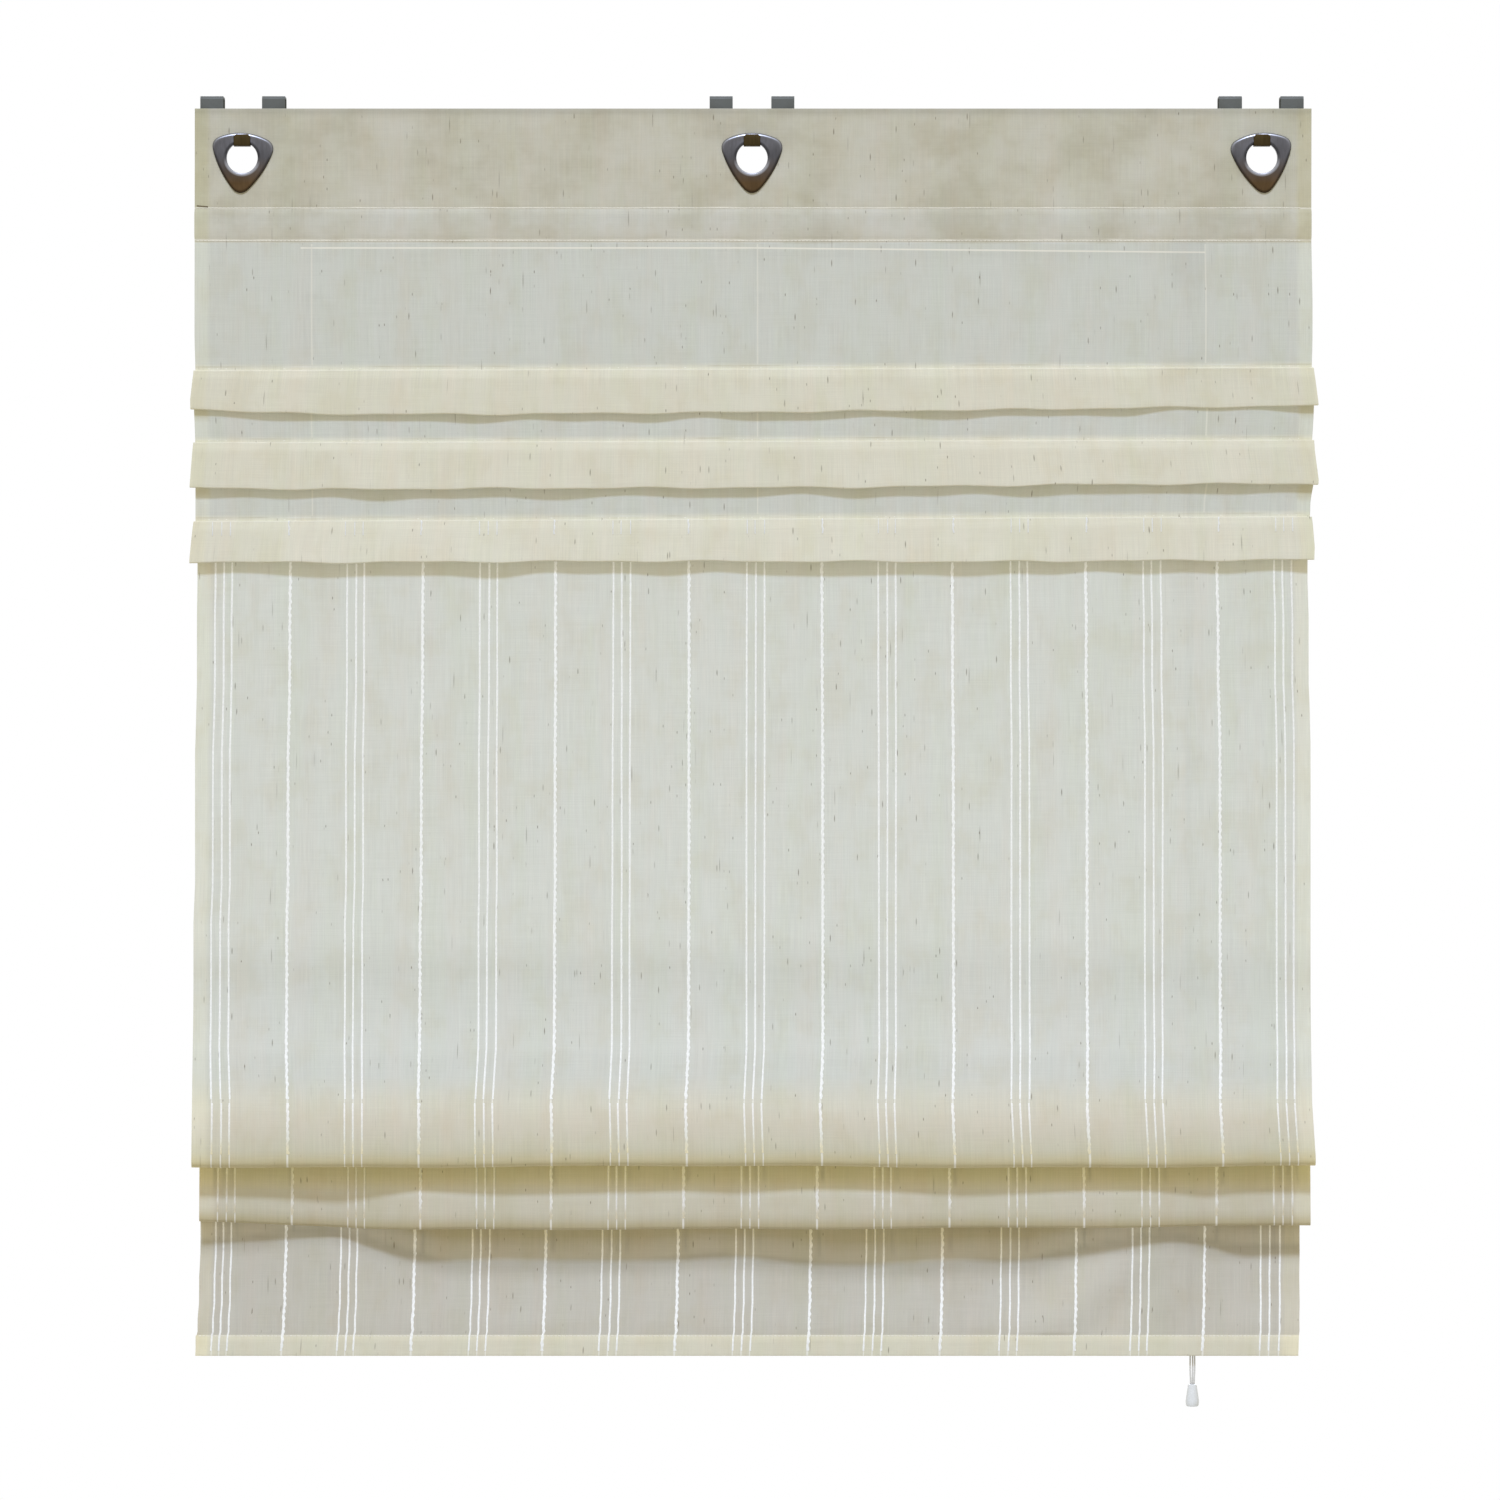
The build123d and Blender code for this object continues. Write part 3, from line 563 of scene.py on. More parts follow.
def nickel_material():
    """Satin nickel with a painted reflection that darkens to brown towards the eyelet's tip, and painted
    highlights and shade on its edges.
    """
    found = bpy.data.materials.get("eyelet_nickel")
    if found:
        return found
    shades = colours()
    material, tree = new_material("eyelet_nickel")
    place = add_node(tree, "ShaderNodeTexCoord").outputs["Object"]
    edge = add_node(tree, "ShaderNodeAttribute", attribute_name="painted_edge_light").outputs["Fac"]
    # Painted reflection: darker and browner towards the tip
    share = add_node(tree, "ShaderNodeMapRange")
    share.inputs["From Min"].default_value = EYELET_Z - 0.034
    share.inputs["From Max"].default_value = EYELET_Z + 0.022
    link(tree, parts_of(tree, place)["Z"], share.inputs["Value"])
    stops = [(0.2, tuple(shades.tip)), (0.62, 0.72 * np.array(shades.nickel)), (0.95, tuple(shades.nickel))]
    blend = ramp(tree, share.outputs[0], stops)
    brush = noise(tree, place, (900.0, 200.0, 120.0), 2.0)
    cloud = noise(tree, place, (90.0, 90.0, 60.0), 3.0)
    tint = mixed(tree, "MULTIPLY", blend, greys(tree, brush, (0.3, 0.93), (0.7, 1.06)), 1.0)
    tint = mixed(tree, "MULTIPLY", tint, greys(tree, cloud, (0.3, 0.86), (0.7, 1.12)), 1.0)
    tint = mixed(tree, "MULTIPLY", tint, greys(tree, edge, (0.1, 0.45), (0.5, 1.0)), 1.0)
    tint = mixed(tree, "MIX", tint, tuple(shades.painted_edge_light), greys(tree, edge, (0.5, 0.0), (1.0, 1.0)))
    body = add_node(tree, "ShaderNodeBsdfPrincipled", Metallic=1.0)
    link(tree, tint, body.inputs["Base Color"])
    link(tree, greys(tree, brush, (0.3, 0.3), (0.7, 0.4)), body.inputs["Roughness"])
    link(tree, bumped(tree, brush, 0.04, 0.0002), body.inputs["Normal"])
    return shown(material, body)


def cord_material():
    """Braided cord: crossing strands along its own UV map."""
    found = bpy.data.materials.get("braided_cord")
    if found:
        return found
    material, tree = new_material("braided_cord")
    uv = add_node(tree, "ShaderNodeUVMap", uv_map="weave").outputs["UV"]
    parts = parts_of(tree, uv)
    strands = []
    for turn in (1.0, -1.0):
        lean = product(tree, parts["X"], 3.0 * turn * 2.0 * math.pi)
        run = product(tree, parts["Y"], 2200.0)
        strands.append(figured(tree, "SINE", figured(tree, "ADD", lean, run), 0.0))
    braid = product(tree, strands[0], strands[1])
    body = add_node(tree, "ShaderNodeBsdfPrincipled", Roughness=0.75)
    tint = mixed(tree, "MULTIPLY", tuple(colours().yarn), greys(tree, braid, (0.0, 0.86), (0.8, 1.03)), 1.0)
    link(tree, tint, body.inputs["Base Color"])
    link(tree, bumped(tree, braid, 0.4, 0.0002), body.inputs["Normal"])
    return shown(material, body)


def stripe_material():
    """Raised white yarn with soft loops."""
    found = bpy.data.materials.get("white_yarn")
    if found:
        return found
    material, tree = new_material("white_yarn")
    uv = add_node(tree, "ShaderNodeUVMap", uv_map="weave").outputs["UV"]
    loops = noise(tree, uv, (900.0, 420.0, 1.0), 2.0)
    body = add_node(tree, "ShaderNodeBsdfPrincipled", Roughness=0.8)
    body.inputs["Specular IOR Level"].default_value = 0.25
    tint = mixed(
        tree, "MULTIPLY", tuple(colours().stripe), greys(tree, loops, (0.3, 0.9), (0.65, 1.03)), 1.0,
    )
    # The tone carries the painted shade under the folds
    own = add_node(tree, "ShaderNodeAttribute", attribute_name="tone").outputs["Color"]
    tint = mixed(tree, "MULTIPLY", tint, own, 1.0)
    link(tree, tint, body.inputs["Base Color"])
    link(tree, bumped(tree, loops, 0.5, 0.0003), body.inputs["Normal"])
    through = add_node(tree, "ShaderNodeBsdfTranslucent")
    link(tree, tint, through.inputs["Color"])
    surface = add_node(tree, "ShaderNodeMixShader", Fac=0.25)
    link(tree, body.outputs[0], surface.inputs[1])
    link(tree, through.outputs[0], surface.inputs[2])
    return shown(material, surface)


def plastic_material():
    return plain_material(
        "white_plastic", colours().plastic, 0.32, grain=(700.0, 700.0, 700.0), depth=0.02, bump=0.03,
    )


# Cloth shapes


def soft_line(xs, knots, spread=0.03):
    """Smooth curve across the width through a few (place, value) knots."""
    fine = np.linspace(-0.56, 0.56, 1121)
    raw = np.interp(fine, [k[0] for k in knots], [k[1] for k in knots])
    width = int(round(spread / (fine[1] - fine[0])))
    window = np.hanning(2 * width + 1)
    padded = np.pad(raw, width, mode="edge")
    return np.interp(xs, fine, np.convolve(padded, window / window.sum(), mode="valid"))


def ripple(xs, waves):
    """Sum of gentle waves across the width: (height, wavelength, shift) each."""
    return sum(h * np.sin(2 * math.pi * (xs / w + s)) for h, w, s in waves)


def bent(corners, cuts, runs, arc=5):
    """Points along a bent sheet, for every column: straight runs joined by soft corners.

    corners is columns by corners by (y, z). cuts are the lengths taken off at each inner corner, and runs are
    the steps in each run.
    """
    count = corners.shape[1]
    points, marks = [], []
    steps = corners[:, 1:] - corners[:, :-1]
    lengths = np.linalg.norm(steps, axis=2, keepdims=True)
    ways = steps / np.maximum(lengths, 1e-9)
    trims = [0.0, *cuts, 0.0]
    for k in range(count - 1):
        start = corners[:, k] + trims[k] * ways[:, k]
        end = corners[:, k + 1] - trims[k + 1] * ways[:, k]
        for i in range(runs[k] + 1):
            t = i / runs[k]
            points.append(start + t * (end - start))
            marks.append(k + t)
        if k < count - 2 and trims[k + 1] > 0:
            after = corners[:, k + 1] + trims[k + 1] * ways[:, k + 1]
            for i in range(1, arc):
                t = i / arc
                bend = (1 - t) ** 2 * end + 2 * t * (1 - t) * corners[:, k + 1] + t**2 * after
                points.append(bend)
                marks.append(k + 1.0)
        elif k < count - 2:
            points.pop()
            marks.pop()
    return np.stack(points, axis=1), np.array(marks)


def columns(spacing):
    """Column places across the width, with a line at the inner edge of each side hem."""
    half, hem = sizes().half_width, sizes().side_hem
    inner = np.linspace(-half + hem, half - hem, int(round(2 * (half - hem) / spacing)) + 1)
    edge = np.array([0.0, 0.35, 0.7]) * hem
    return np.concatenate([-half + edge, inner, (half - edge)[::-1]])


def run_of(points):
    """Length along the cloth at every point, taken from the middle column."""
    middle = points[points.shape[0] // 2]
    steps = np.linalg.norm(np.diff(middle, axis=0), axis=1)
    return np.concatenate([[0.0], np.cumsum(steps)])


def woven(name, vertices, faces, uvs, tones):
    """Piece with the weave's UV map and a tone at every point."""
    mesh = bpy.data.meshes.new(name)
    mesh.from_pydata(vertices.tolist(), [], faces.tolist())
    layer = mesh.uv_layers.new(name="weave")
    corner = np.zeros(len(mesh.loops), dtype=np.int32)
    mesh.loops.foreach_get("vertex_index", corner)
    layer.data.foreach_set("uv", uvs[corner].astype(np.float32).ravel())
    shade = mesh.attributes.new("tone", "FLOAT_COLOR", "POINT")
    shade.data.foreach_set("color", tones.astype(np.float32).ravel())
    return linked(name, mesh)


def sheet_piece(name, grids, holes=()):
    """Sheet of cloth from grids of (points, across, run, tones).

    A tone's fourth value is the kind of cloth: striped, header or one layer over the cords.
    """
    vertices, faces, uvs, tones = [], [], [], []
    for points, across, run, shade in grids:
        n, m = points.shape[:2]
        offset = sum(len(v) for v in vertices)
        vertices.append(points.reshape(-1, 3))
        uvs.append(np.stack(np.broadcast_arrays(across[:, None], run[None, :]), axis=2).reshape(-1, 2))
        if shade.shape[-1] == 3:
            shade = np.concatenate([shade, np.full((*shade.shape[:-1], 1), STRIPED)], axis=-1)
        tones.append(shade.reshape(-1, 4))
        i, j = np.meshgrid(np.arange(n - 1), np.arange(m - 1), indexing="ij")
        first = (offset + i * m + j).ravel()
        faces.append(np.stack([first, first + 1, first + m + 1, first + m], axis=1))
    vertices, uvs, tones, faces = (np.concatenate(x) for x in (vertices, uvs, tones, faces))
    for x, z, radius in holes:
        near = np.hypot(vertices[:, 0] - x, vertices[:, 2] - z)
        middle = np.hypot(vertices[faces][:, :, 0].mean(1) - x, vertices[faces][:, :, 2].mean(1) - z)
        gone = middle < radius
        rim = np.intersect1d(faces[gone].ravel(), faces[~gone].ravel())
        faces = faces[~gone]
        scale = radius / np.maximum(near[rim], 1e-6)
        vertices[rim, 0] = x + (vertices[rim, 0] - x) * scale
        vertices[rim, 2] = z + (vertices[rim, 2] - z) * scale
    used, faces = np.unique(faces, return_inverse=True)
    faces = faces.reshape(-1, 4)
    vertices, uvs, tones = vertices[used], uvs[used], tones[used]
    piece = woven(name, vertices, faces, uvs, tones)
    thick = piece.modifiers.new("Thickness", "SOLIDIFY")
    thick.thickness = sizes().cloth
    thick.offset = 0.0
    apply_all(piece)
    smooth(piece, 60)
    paint_piece(piece, cloth_material())
    return piece


def tone_back(piece, plain):
    """Give the back of a sheet a tone of its own: thickness puts the two faces one after the other."""
    count = len(piece.data.vertices) // 2
    places = np.zeros((2, count, 3), np.float32)
    piece.data.vertices.foreach_get("co", places.reshape(-1))
    tones = np.zeros((2, count, 4), np.float32)
    layer = piece.data.attributes["tone"].data
    layer.foreach_get("color", tones.reshape(-1))
    back = int(places[1, :, 1].mean() > places[0, :, 1].mean())
    tones[back, :, :3] = plain.reshape(-1, 3)
    layer.foreach_set("color", tones.reshape(-1))


# Kinds of cloth
STRIPED = 0.25
HEADER = 0.5
SINGLE = 1.0


def placed(xs, yz):
    """Columns of (y, z) points as (x, y, z)."""
    across = np.broadcast_to(np.asarray(xs)[:, None], yz.shape[:2]) if np.ndim(xs) == 1 else xs
    return np.concatenate([across[..., None], yz], axis=2)


def stacked(*corners):
    """Corners of every column; each corner's y and z are numbers or one value per column."""
    width = max(np.size(v) for c in corners for v in c)
    rows = [np.stack([np.broadcast_to(np.asarray(v, float), (width,)) for v in c], axis=1) for c in corners]
    return np.stack(rows, axis=1)


def shade_of(marks, levels):
    """Tone along the cloth from (mark, colour) levels."""
    places = [p for p, _ in levels]
    return np.stack([np.interp(marks, places, [c[k] for _, c in levels]) for k in range(3)], axis=-1)


def hem_share(xs):
    """1 on the side hems and 0 between them."""
    inner = sizes().half_width - sizes().side_hem
    return np.clip((np.abs(xs) - inner) / HEM_FADE, 0, 1)


def hemmed(xs, shade, tint):
    """The tone with side hems of another tint, which may change along the cloth."""
    edge = hem_share(xs)[:, None, None]
    return shade * (1 + edge * (np.asarray(tint) - 1))


def painted(shade, heights, zone, levels):
    """The tone times tints given by height, within a zone of rows."""
    places = [p for p, _ in levels]
    order = np.argsort(places)
    places = np.array(places)[order]
    tints = np.array([t for _, t in levels], float)[order]
    tint = np.stack([np.interp(heights, places, tints[:, k]) for k in range(3)], axis=-1)
    return shade * (1 + zone[None, :, None] * (tint - 1))


HEM_FADE = 0.001
# Tints of the side hems on the header, on one layer, on a tuck, on the panel, on the folds and on the flap
HEADER_HEM = np.array((0.98, 0.97, 0.86))
SINGLE_HEM = np.array((1.09, 1.09, 1.06))
TUCK_HEM = np.array((0.995, 0.99, 0.94))
PANEL_HEM = np.array((1.11, 1.1, 1.06))
FOLD_HEM = np.array((1.13, 1.14, 1.14))
FLAP_HEM = np.array((1.11, 1.09, 1.03))


def panel_columns(xs):
    """The striped panel, column by column."""
    xs = np.asarray(xs)
    sway = ripple(xs, [(0.0009, 0.31, 0.2), (0.0006, 0.173, 0.55)])
    corners = stacked(
        (FRONT_Y, PANEL_TOP_Z),
        (FRONT_Y, PANEL_TOP_Z - 0.11),
        (FRONT_Y - 0.0005 + sway, -0.62),
        (FRONT_Y, BOW_Z),
        (FOLD_LINE_Y, FOLD_LINE_Z),
    )
    return bent(corners, [0.03, 0.06, 0.035], [20, 26, 26, 14], 6)


def fold_shape(xs):
    """How far back the second fold and the bottom flap lie across the width."""
    second = soft_line(
        xs,
        [
            (-0.5, -0.0169), (-0.442, -0.0148), (-0.372, -0.0105), (-0.343, -0.0148), (-0.3, -0.0225),
            (-0.262, -0.0197), (-0.226, -0.0176), (-0.128, -0.0197), (-0.056, -0.0209), (-0.006, -0.0178),
            (0.045, -0.0222), (0.097, -0.0217), (0.187, -0.0180), (0.299, -0.0225), (0.358, -0.0227),
            (0.411, -0.0156), (0.438, -0.0184), (0.5, -0.0165),
        ],
        0.014,
    )
    flap = soft_line(
        xs,
        [
            (-0.5, 0.0020), (-0.429, -0.0015), (-0.388, -0.0020), (-0.361, -0.0015), (-0.316, 0.0030),
            (-0.226, 0.0068), (-0.137, 0.0060), (-0.047, 0.0042), (0.043, 0.0056), (0.11, 0.0085),
            (0.17, 0.0076), (0.235, 0.0092), (0.295, 0.0005), (0.369, -0.0100), (0.393, -0.0072),
            (0.415, -0.0010), (0.455, 0.0078), (0.5, 0.0076),
        ],
        0.02,
    )
    return second, flap


def stripe_drift(xs):
    """How far the woven stripes lie out of true across the width."""
    return soft_line(xs, STRIPE_DRIFT, STRIPE_SPREAD)


def side_drift(xs, places, left, right):
    """How far the columns hang out of true along the cloth: most at the side edges, not at all in the middle.

    left and right are (place, way out) knots.
    """
    share = (np.asarray(xs) / sizes().half_width)[:, None]
    ways = [np.interp(places, [p for p, _ in knots], [v for _, v in knots]) for knots in (left, right)]
    return np.where(share < 0, share * ways[0], share * ways[1])


def panel_across(xs, marks):
    """Where the panel's columns lie; at the fold line they meet those of the first fold."""
    xs = np.asarray(xs)
    joined = np.interp(marks, [3.0, 4.0], [0.0, 1.0])
    sides = side_drift(xs, marks[None], PANEL_LEFT, PANEL_RIGHT)
    return xs[:, None] + sides + joined[None] * soft_line(xs, LAYER_DRIFTS[0], LAYER_SPREAD)[:, None]


def lower_across(xs, marks):
    """Where the columns of the folds and the flap lie: each layer hangs a little to one side."""
    places = [0.0, 1.0, 2.0, 4.0, 8.0, 10.0, 14.0]
    scale = np.interp(marks, places, [1.0, 1.0019, 1.0019, 0.9972, 0.9972, 0.9878, 0.9899])
    shift = np.interp(marks, places, [0.0, 0.00135, 0.00135, 0.0009, 0.0009, -0.0049, -0.008])
    flap = np.interp(marks, [8.0, 10.0], [0.0, 1.0])[None]
    right = 0.003 * np.clip((xs - 0.44) / 0.06, 0, 1)[:, None] * flap
    left = 0.0045 * np.clip((-0.465 - xs) / 0.035, 0, 1)[:, None] * flap
    shares = [
        np.interp(marks, [2.0, 4.0], [1.0, 0.0]),
        np.interp(marks, [2.0, 4.0, 8.0, 10.0], [0.0, 1.0, 1.0, 0.0]),
        np.interp(marks, [8.0, 10.0], [0.0, 1.0]),
    ]
    drifts = [soft_line(xs, knots, LAYER_SPREAD)[:, None] for knots in LAYER_DRIFTS]
    drift = sum(way * share[None] for way, share in zip(drifts, shares))
    return xs[:, None] * scale[None] + shift[None] + right + left + drift


LAYER_SPREAD = 0.012
STRIPE_SPREAD = 0.02
# How far stripes, layers and side edges hang out of true
# The layers are the first fold, the second fold and the flap
STRIPE_DRIFT = (
    (-0.5, 0.0038), (-0.42, 0.0038), (-0.36, 0.003), (-0.12, 0.0028), (0.0, 0.0032), (0.06, 0.0031),
    (0.12, 0.0014), (0.18, 0.0004), (0.3, 0.0003), (0.36, -0.0002), (0.42, -0.0013), (0.5, -0.0027),
)
LAYER_DRIFTS = (
    (
        (-0.5, -0.0018), (-0.477, 0.0007), (-0.357, -0.0002), (-0.238, -0.0035), (-0.118, -0.0027),
        (0.0, -0.0024), (0.12, -0.0013), (0.24, 0.0), (0.36, 0.0002), (0.48, 0.0007), (0.5, 0.0018),
    ),
    (
        (-0.5, 0.0018), (-0.477, 0.0025), (-0.357, -0.0002), (-0.238, -0.0037), (-0.118, -0.0054),
        (0.0, -0.006), (0.12, -0.0049), (0.24, -0.0027), (0.36, -0.0025), (0.48, -0.0011), (0.5, 0.0018),
    ),
    (
        (-0.5, -0.0018), (-0.477, -0.0011), (-0.357, -0.0047), (-0.238, -0.0046), (-0.118, -0.006),
        (0.0, -0.0051), (0.12, -0.0045), (0.24, 0.0), (0.36, -0.0007), (0.48, -0.0029), (0.5, 0.0013),
    ),
)
PANEL_LEFT = (
    (0.0, -0.0018), (0.6, -0.0018), (1.3, -0.0009), (1.9, 0.0), (2.45, 0.0018), (3.0, 0.0018), (4.0, 0.0),
)
PANEL_RIGHT = ((0.0, -0.0009), (0.6, -0.0009), (1.3, 0.0009), (1.9, 0.0018), (3.0, 0.0018), (4.0, 0.0))
UPPER_LEFT = (
    (-0.017, 0.0006), (0.19, 0.0009), (0.222, 0.0), (0.245, 0.0018), (0.263, 0.0009), (0.29, 0.0),
    (0.36, 0.0),
)
UPPER_RIGHT = (
    (-0.017, 0.0027), (0.1, 0.0025), (0.155, 0.0036), (0.19, 0.0036), (0.222, 0.0028), (0.248, 0.005),
    (0.263, 0.0044), (0.29, 0.0027), (0.318, 0.005), (0.335, 0.0018), (0.362, 0.0009), (0.389, -0.0005),
)


def swell(places, knots):
    """Rises from 0 to 1 between the first two knots and falls between the last two."""
    return np.interp(places, knots, [0.0, 1.0, 1.0, 0.0])


def crease_place(xs, heights):
    """How far each point of the flap is from its slanting crease, and how strong the crease is there."""
    (ax, az), (bx, bz) = CREASE_LOW, CREASE_HIGH
    size = math.hypot(bx - ax, bz - az)
    x = np.asarray(xs)[:, None]
    away = ((x - ax) * (bz - az) - (heights - az) * (bx - ax)) / size
    along = ((x - ax) * (bx - ax) + (heights - az) * (bz - az)) / size**2
    return away, swell(along, [-0.25, 0.2, 0.75, 1.3])


def flap_crease(xs, heights):
    """How far the flap's slanting crease stands out."""
    away, strength = crease_place(xs, heights)
    return CREASE_DEPTH * strength * np.exp(-((away / CREASE_WIDTH) ** 2))


def crease_light(xs, heights):
    """Painted light on both sides of the crease's shade: how much lighter the cloth is made there."""
    away, strength = crease_place(xs, heights)
    lights = [light * np.exp(-(((away - place) / width) ** 2)) for place, width, light in CREASE_LIGHTS]
    return strength * sum(lights)


# Painted light beside the crease: place, width and strength
CREASE_LIGHTS = ((-0.02, 0.02, 0.09), (0.033, 0.012, 0.06))
# Marks between which the crease and its painted light fade in and out
CREASE_MARKS = (9.9, 10.2, 12.4, 12.9)
LIGHT_MARKS = (9.9, 10.2, 12.6, 12.95)
CREASE_LOW = (0.2713, -1.0852)
CREASE_HIGH = (0.3583, -1.0172)
CREASE_DEPTH = 0.0019
CREASE_WIDTH = 0.016


def lower_columns(xs):
    """The two soft folds, the bottom flap and its hem, column by column."""
    xs = np.asarray(xs)
    second, flap = fold_shape(xs)
    first_y = FOLD_1_Y + ripple(xs, [(0.0006, 0.41, 0.1), (0.0004, 0.19, 0.6)])
    first_z = FOLD_1_Z + ripple(xs, [(0.0009, 0.62, 0.35), (0.0005, 0.21, 0.0)])
    sag = [
        (-0.5, 0.001), (-0.39, -0.003), (-0.335, -0.0062), (0.0, -0.0055), (0.22, -0.0045), (0.5, -0.0025),
    ]
    second_z = FOLD_2_Z + soft_line(xs, sag, 0.04) + ripple(xs, [(0.0005, 0.24, 0.4)])
    back_2 = np.minimum(second + 0.0095, flap - 0.0035)
    corners = stacked(
        (FOLD_LINE_Y, FOLD_LINE_Z),
        (first_y, first_z),
        (first_y + 0.0165, first_z),
        (FRONT_Y - 3 * CREST_1_STEP, FOLD_LINE_Z),
        (FRONT_Y - 2 * CREST_1_STEP, FOLD_LINE_Z),
        (second, second_z),
        (back_2, second_z),
        (FRONT_Y - CREST_1_STEP, CREST_2_Z),
        (FRONT_Y, CREST_2_Z),
        (FRONT_Y, CREST_2_Z - 0.02),
        (flap, -0.992),
        (flap * 0.55 + FRONT_Y * 0.45, -1.045),
        (FRONT_Y, -1.076),
        (FRONT_Y - 0.0001, HEM_Z + sizes().hem),
        (FRONT_Y - 0.0002, HEM_Z + 0.0002),
        (HEM_BACK_Y, HEM_Z + 0.0002),
        (HEM_BACK_Y, HEM_Z + sizes().hem),
    )
    cuts = [
        0.0081, 0.0081, 0.0004, 0.0004, 0.0040, 0.0030, 0.0004, 0.0004, 0.008, 0.02, 0.012, 0.006, 0.0002,
        0.0012, 0.0012,
    ]
    runs = [12, 1, 8, 1, 20, 1, 10, 1, 4, 16, 12, 8, 3, 5, 2, 6]
    points, marks = bent(corners, cuts, runs, 8)
    on_flap = swell(marks, CREASE_MARKS)
    points[..., 0] -= on_flap[None] * flap_crease(xs, points[..., 1])
    return points, marks


def upper_columns(xs):
    """The header, the pocket and the tucks, column by column."""
    xs = np.asarray(xs)
    reach = sizes().tuck_reach
    corners = [
        (HEADER_BACK_Y, POCKET_LOW_Z),
        (POCKET_BACK_Y, POCKET_LOW_Z + POCKET_SLOPE),
        (POCKET_BACK_Y, POCKET_TOP_Z - POCKET_SLOPE),
        (HEADER_BACK_Y, POCKET_TOP_Z),
        (HEADER_BACK_Y, CLOTH_TOP_Z - 0.0002),
        (FRONT_Y, CLOTH_TOP_Z - 0.0002),
        (FRONT_Y, POCKET_TOP_Z + 0.001),
        (FRONT_Y + 0.0001, POCKET_TOP_Z),
        (FRONT_Y - 0.0004, POCKET_TOP_Z - 0.004),
        (FRONT_Y - 0.0004, POCKET_LOW_Z + 0.004),
        (FRONT_Y + 0.0001, POCKET_LOW_Z),
        (FRONT_Y, POCKET_LOW_Z - 0.004),
    ]
    cuts = [0.002, 0.002, 0.001, 0.0003, 0.0003, 0.0, 0.0004, 0.002, 0.002, 0.0004, 0.0]
    runs = [2, 6, 2, 30, 1, 30, 1, 2, 5, 2, 2]
    for seam, depth, (tilt, droop, out) in zip(TUCK_SEAMS, TUCK_DEPTHS, TUCK_FORMS):
        seam_z = seam + soft_line(xs, tilt, 0.05)
        edge = seam - depth + soft_line(xs, droop, 0.04)
        edge = edge + ripple(xs, [(0.0006, 0.13, seam * 7), (0.0004, 0.071, seam * 23)])
        stand = reach * soft_line(xs, out, 0.03)
        stand = stand + ripple(xs, [(0.0007, 0.151, seam * 9), (0.0005, 0.083, seam * 31)])
        crest = np.minimum(0.0038, 0.7 * stand)
        corners += [
            (FRONT_Y, seam_z),
            (FRONT_Y - 0.0024, seam_z + 0.0002),
            (FRONT_Y - crest, seam_z - 0.0070),
            (FRONT_Y - stand, edge),
            (FRONT_Y - stand + 0.0022, edge),
            (FRONT_Y - 0.0007, seam_z - 0.005),
            (FRONT_Y, seam_z - 0.005),
        ]
        cuts += [0.0003, 0.0007, 0.003, 0.0010, 0.0010, 0.0002, 0.0002]
        runs += [18 if seam == TUCK_SEAMS[0] else 10, 1, 3, 9, 1, 8, 1]
    corners.append((FRONT_Y, PANEL_TOP_Z + 0.0003))
    runs.append(2)
    return bent(stacked(*corners), cuts, runs, 4)


def upper_run(z):
    """Length along the upper cloth's front, between the pocket and the first tuck, at a height."""
    yz, marks = upper_columns(np.array([0.0]))
    front = (marks >= FRONT_TOP) & (marks <= FIRST_TUCK)
    return float(np.interp(-z, -yz[0, front, 1], run_of(yz)[front]))


FRONT_TOP = 5.0
FIRST_TUCK = 12.0
TUCK_CORNERS = 7
TUCK_FORMS = (
    (
        [(-0.5, -0.0018), (0.5, 0.0009)],
        [
            (-0.5, 0.0), (-0.46, -0.0035), (-0.4, -0.0055), (-0.25, -0.006), (0.0, -0.004), (0.25, -0.0015),
            (0.42, 0.001), (0.5, 0.002),
        ],
        [(-0.5, 0.75), (-0.3, 0.8), (0.0, 0.85), (0.3, 0.8), (0.4, 0.42), (0.44, 0.42), (0.5, 0.75)],
    ),
    (
        [(-0.5, -0.0018), (0.5, 0.0005)],
        [(-0.5, -0.0015), (-0.38, -0.003), (-0.2, -0.002), (0.1, -0.001), (0.3, 0.0015), (0.5, 0.0022)],
        [(-0.5, 1.0), (-0.25, 1.1), (0.0, 0.95), (0.25, 1.1), (0.5, 1.0)],
    ),
    (
        [(-0.5, -0.0022), (0.5, 0.0022)],
        [(-0.5, -0.0005), (-0.4, -0.0012), (-0.1, 0.0), (0.2, -0.0005), (0.5, 0.0015)],
        [(-0.5, 1.25), (-0.3, 1.6), (-0.1, 1.3), (0.1, 1.55), (0.3, 1.3), (0.5, 1.4)],
    ),
)


class BlindOperator(bpy.types.Operator):
    """Base of the blind's operators."""

    bl_options = {"REGISTER", "UNDO"}


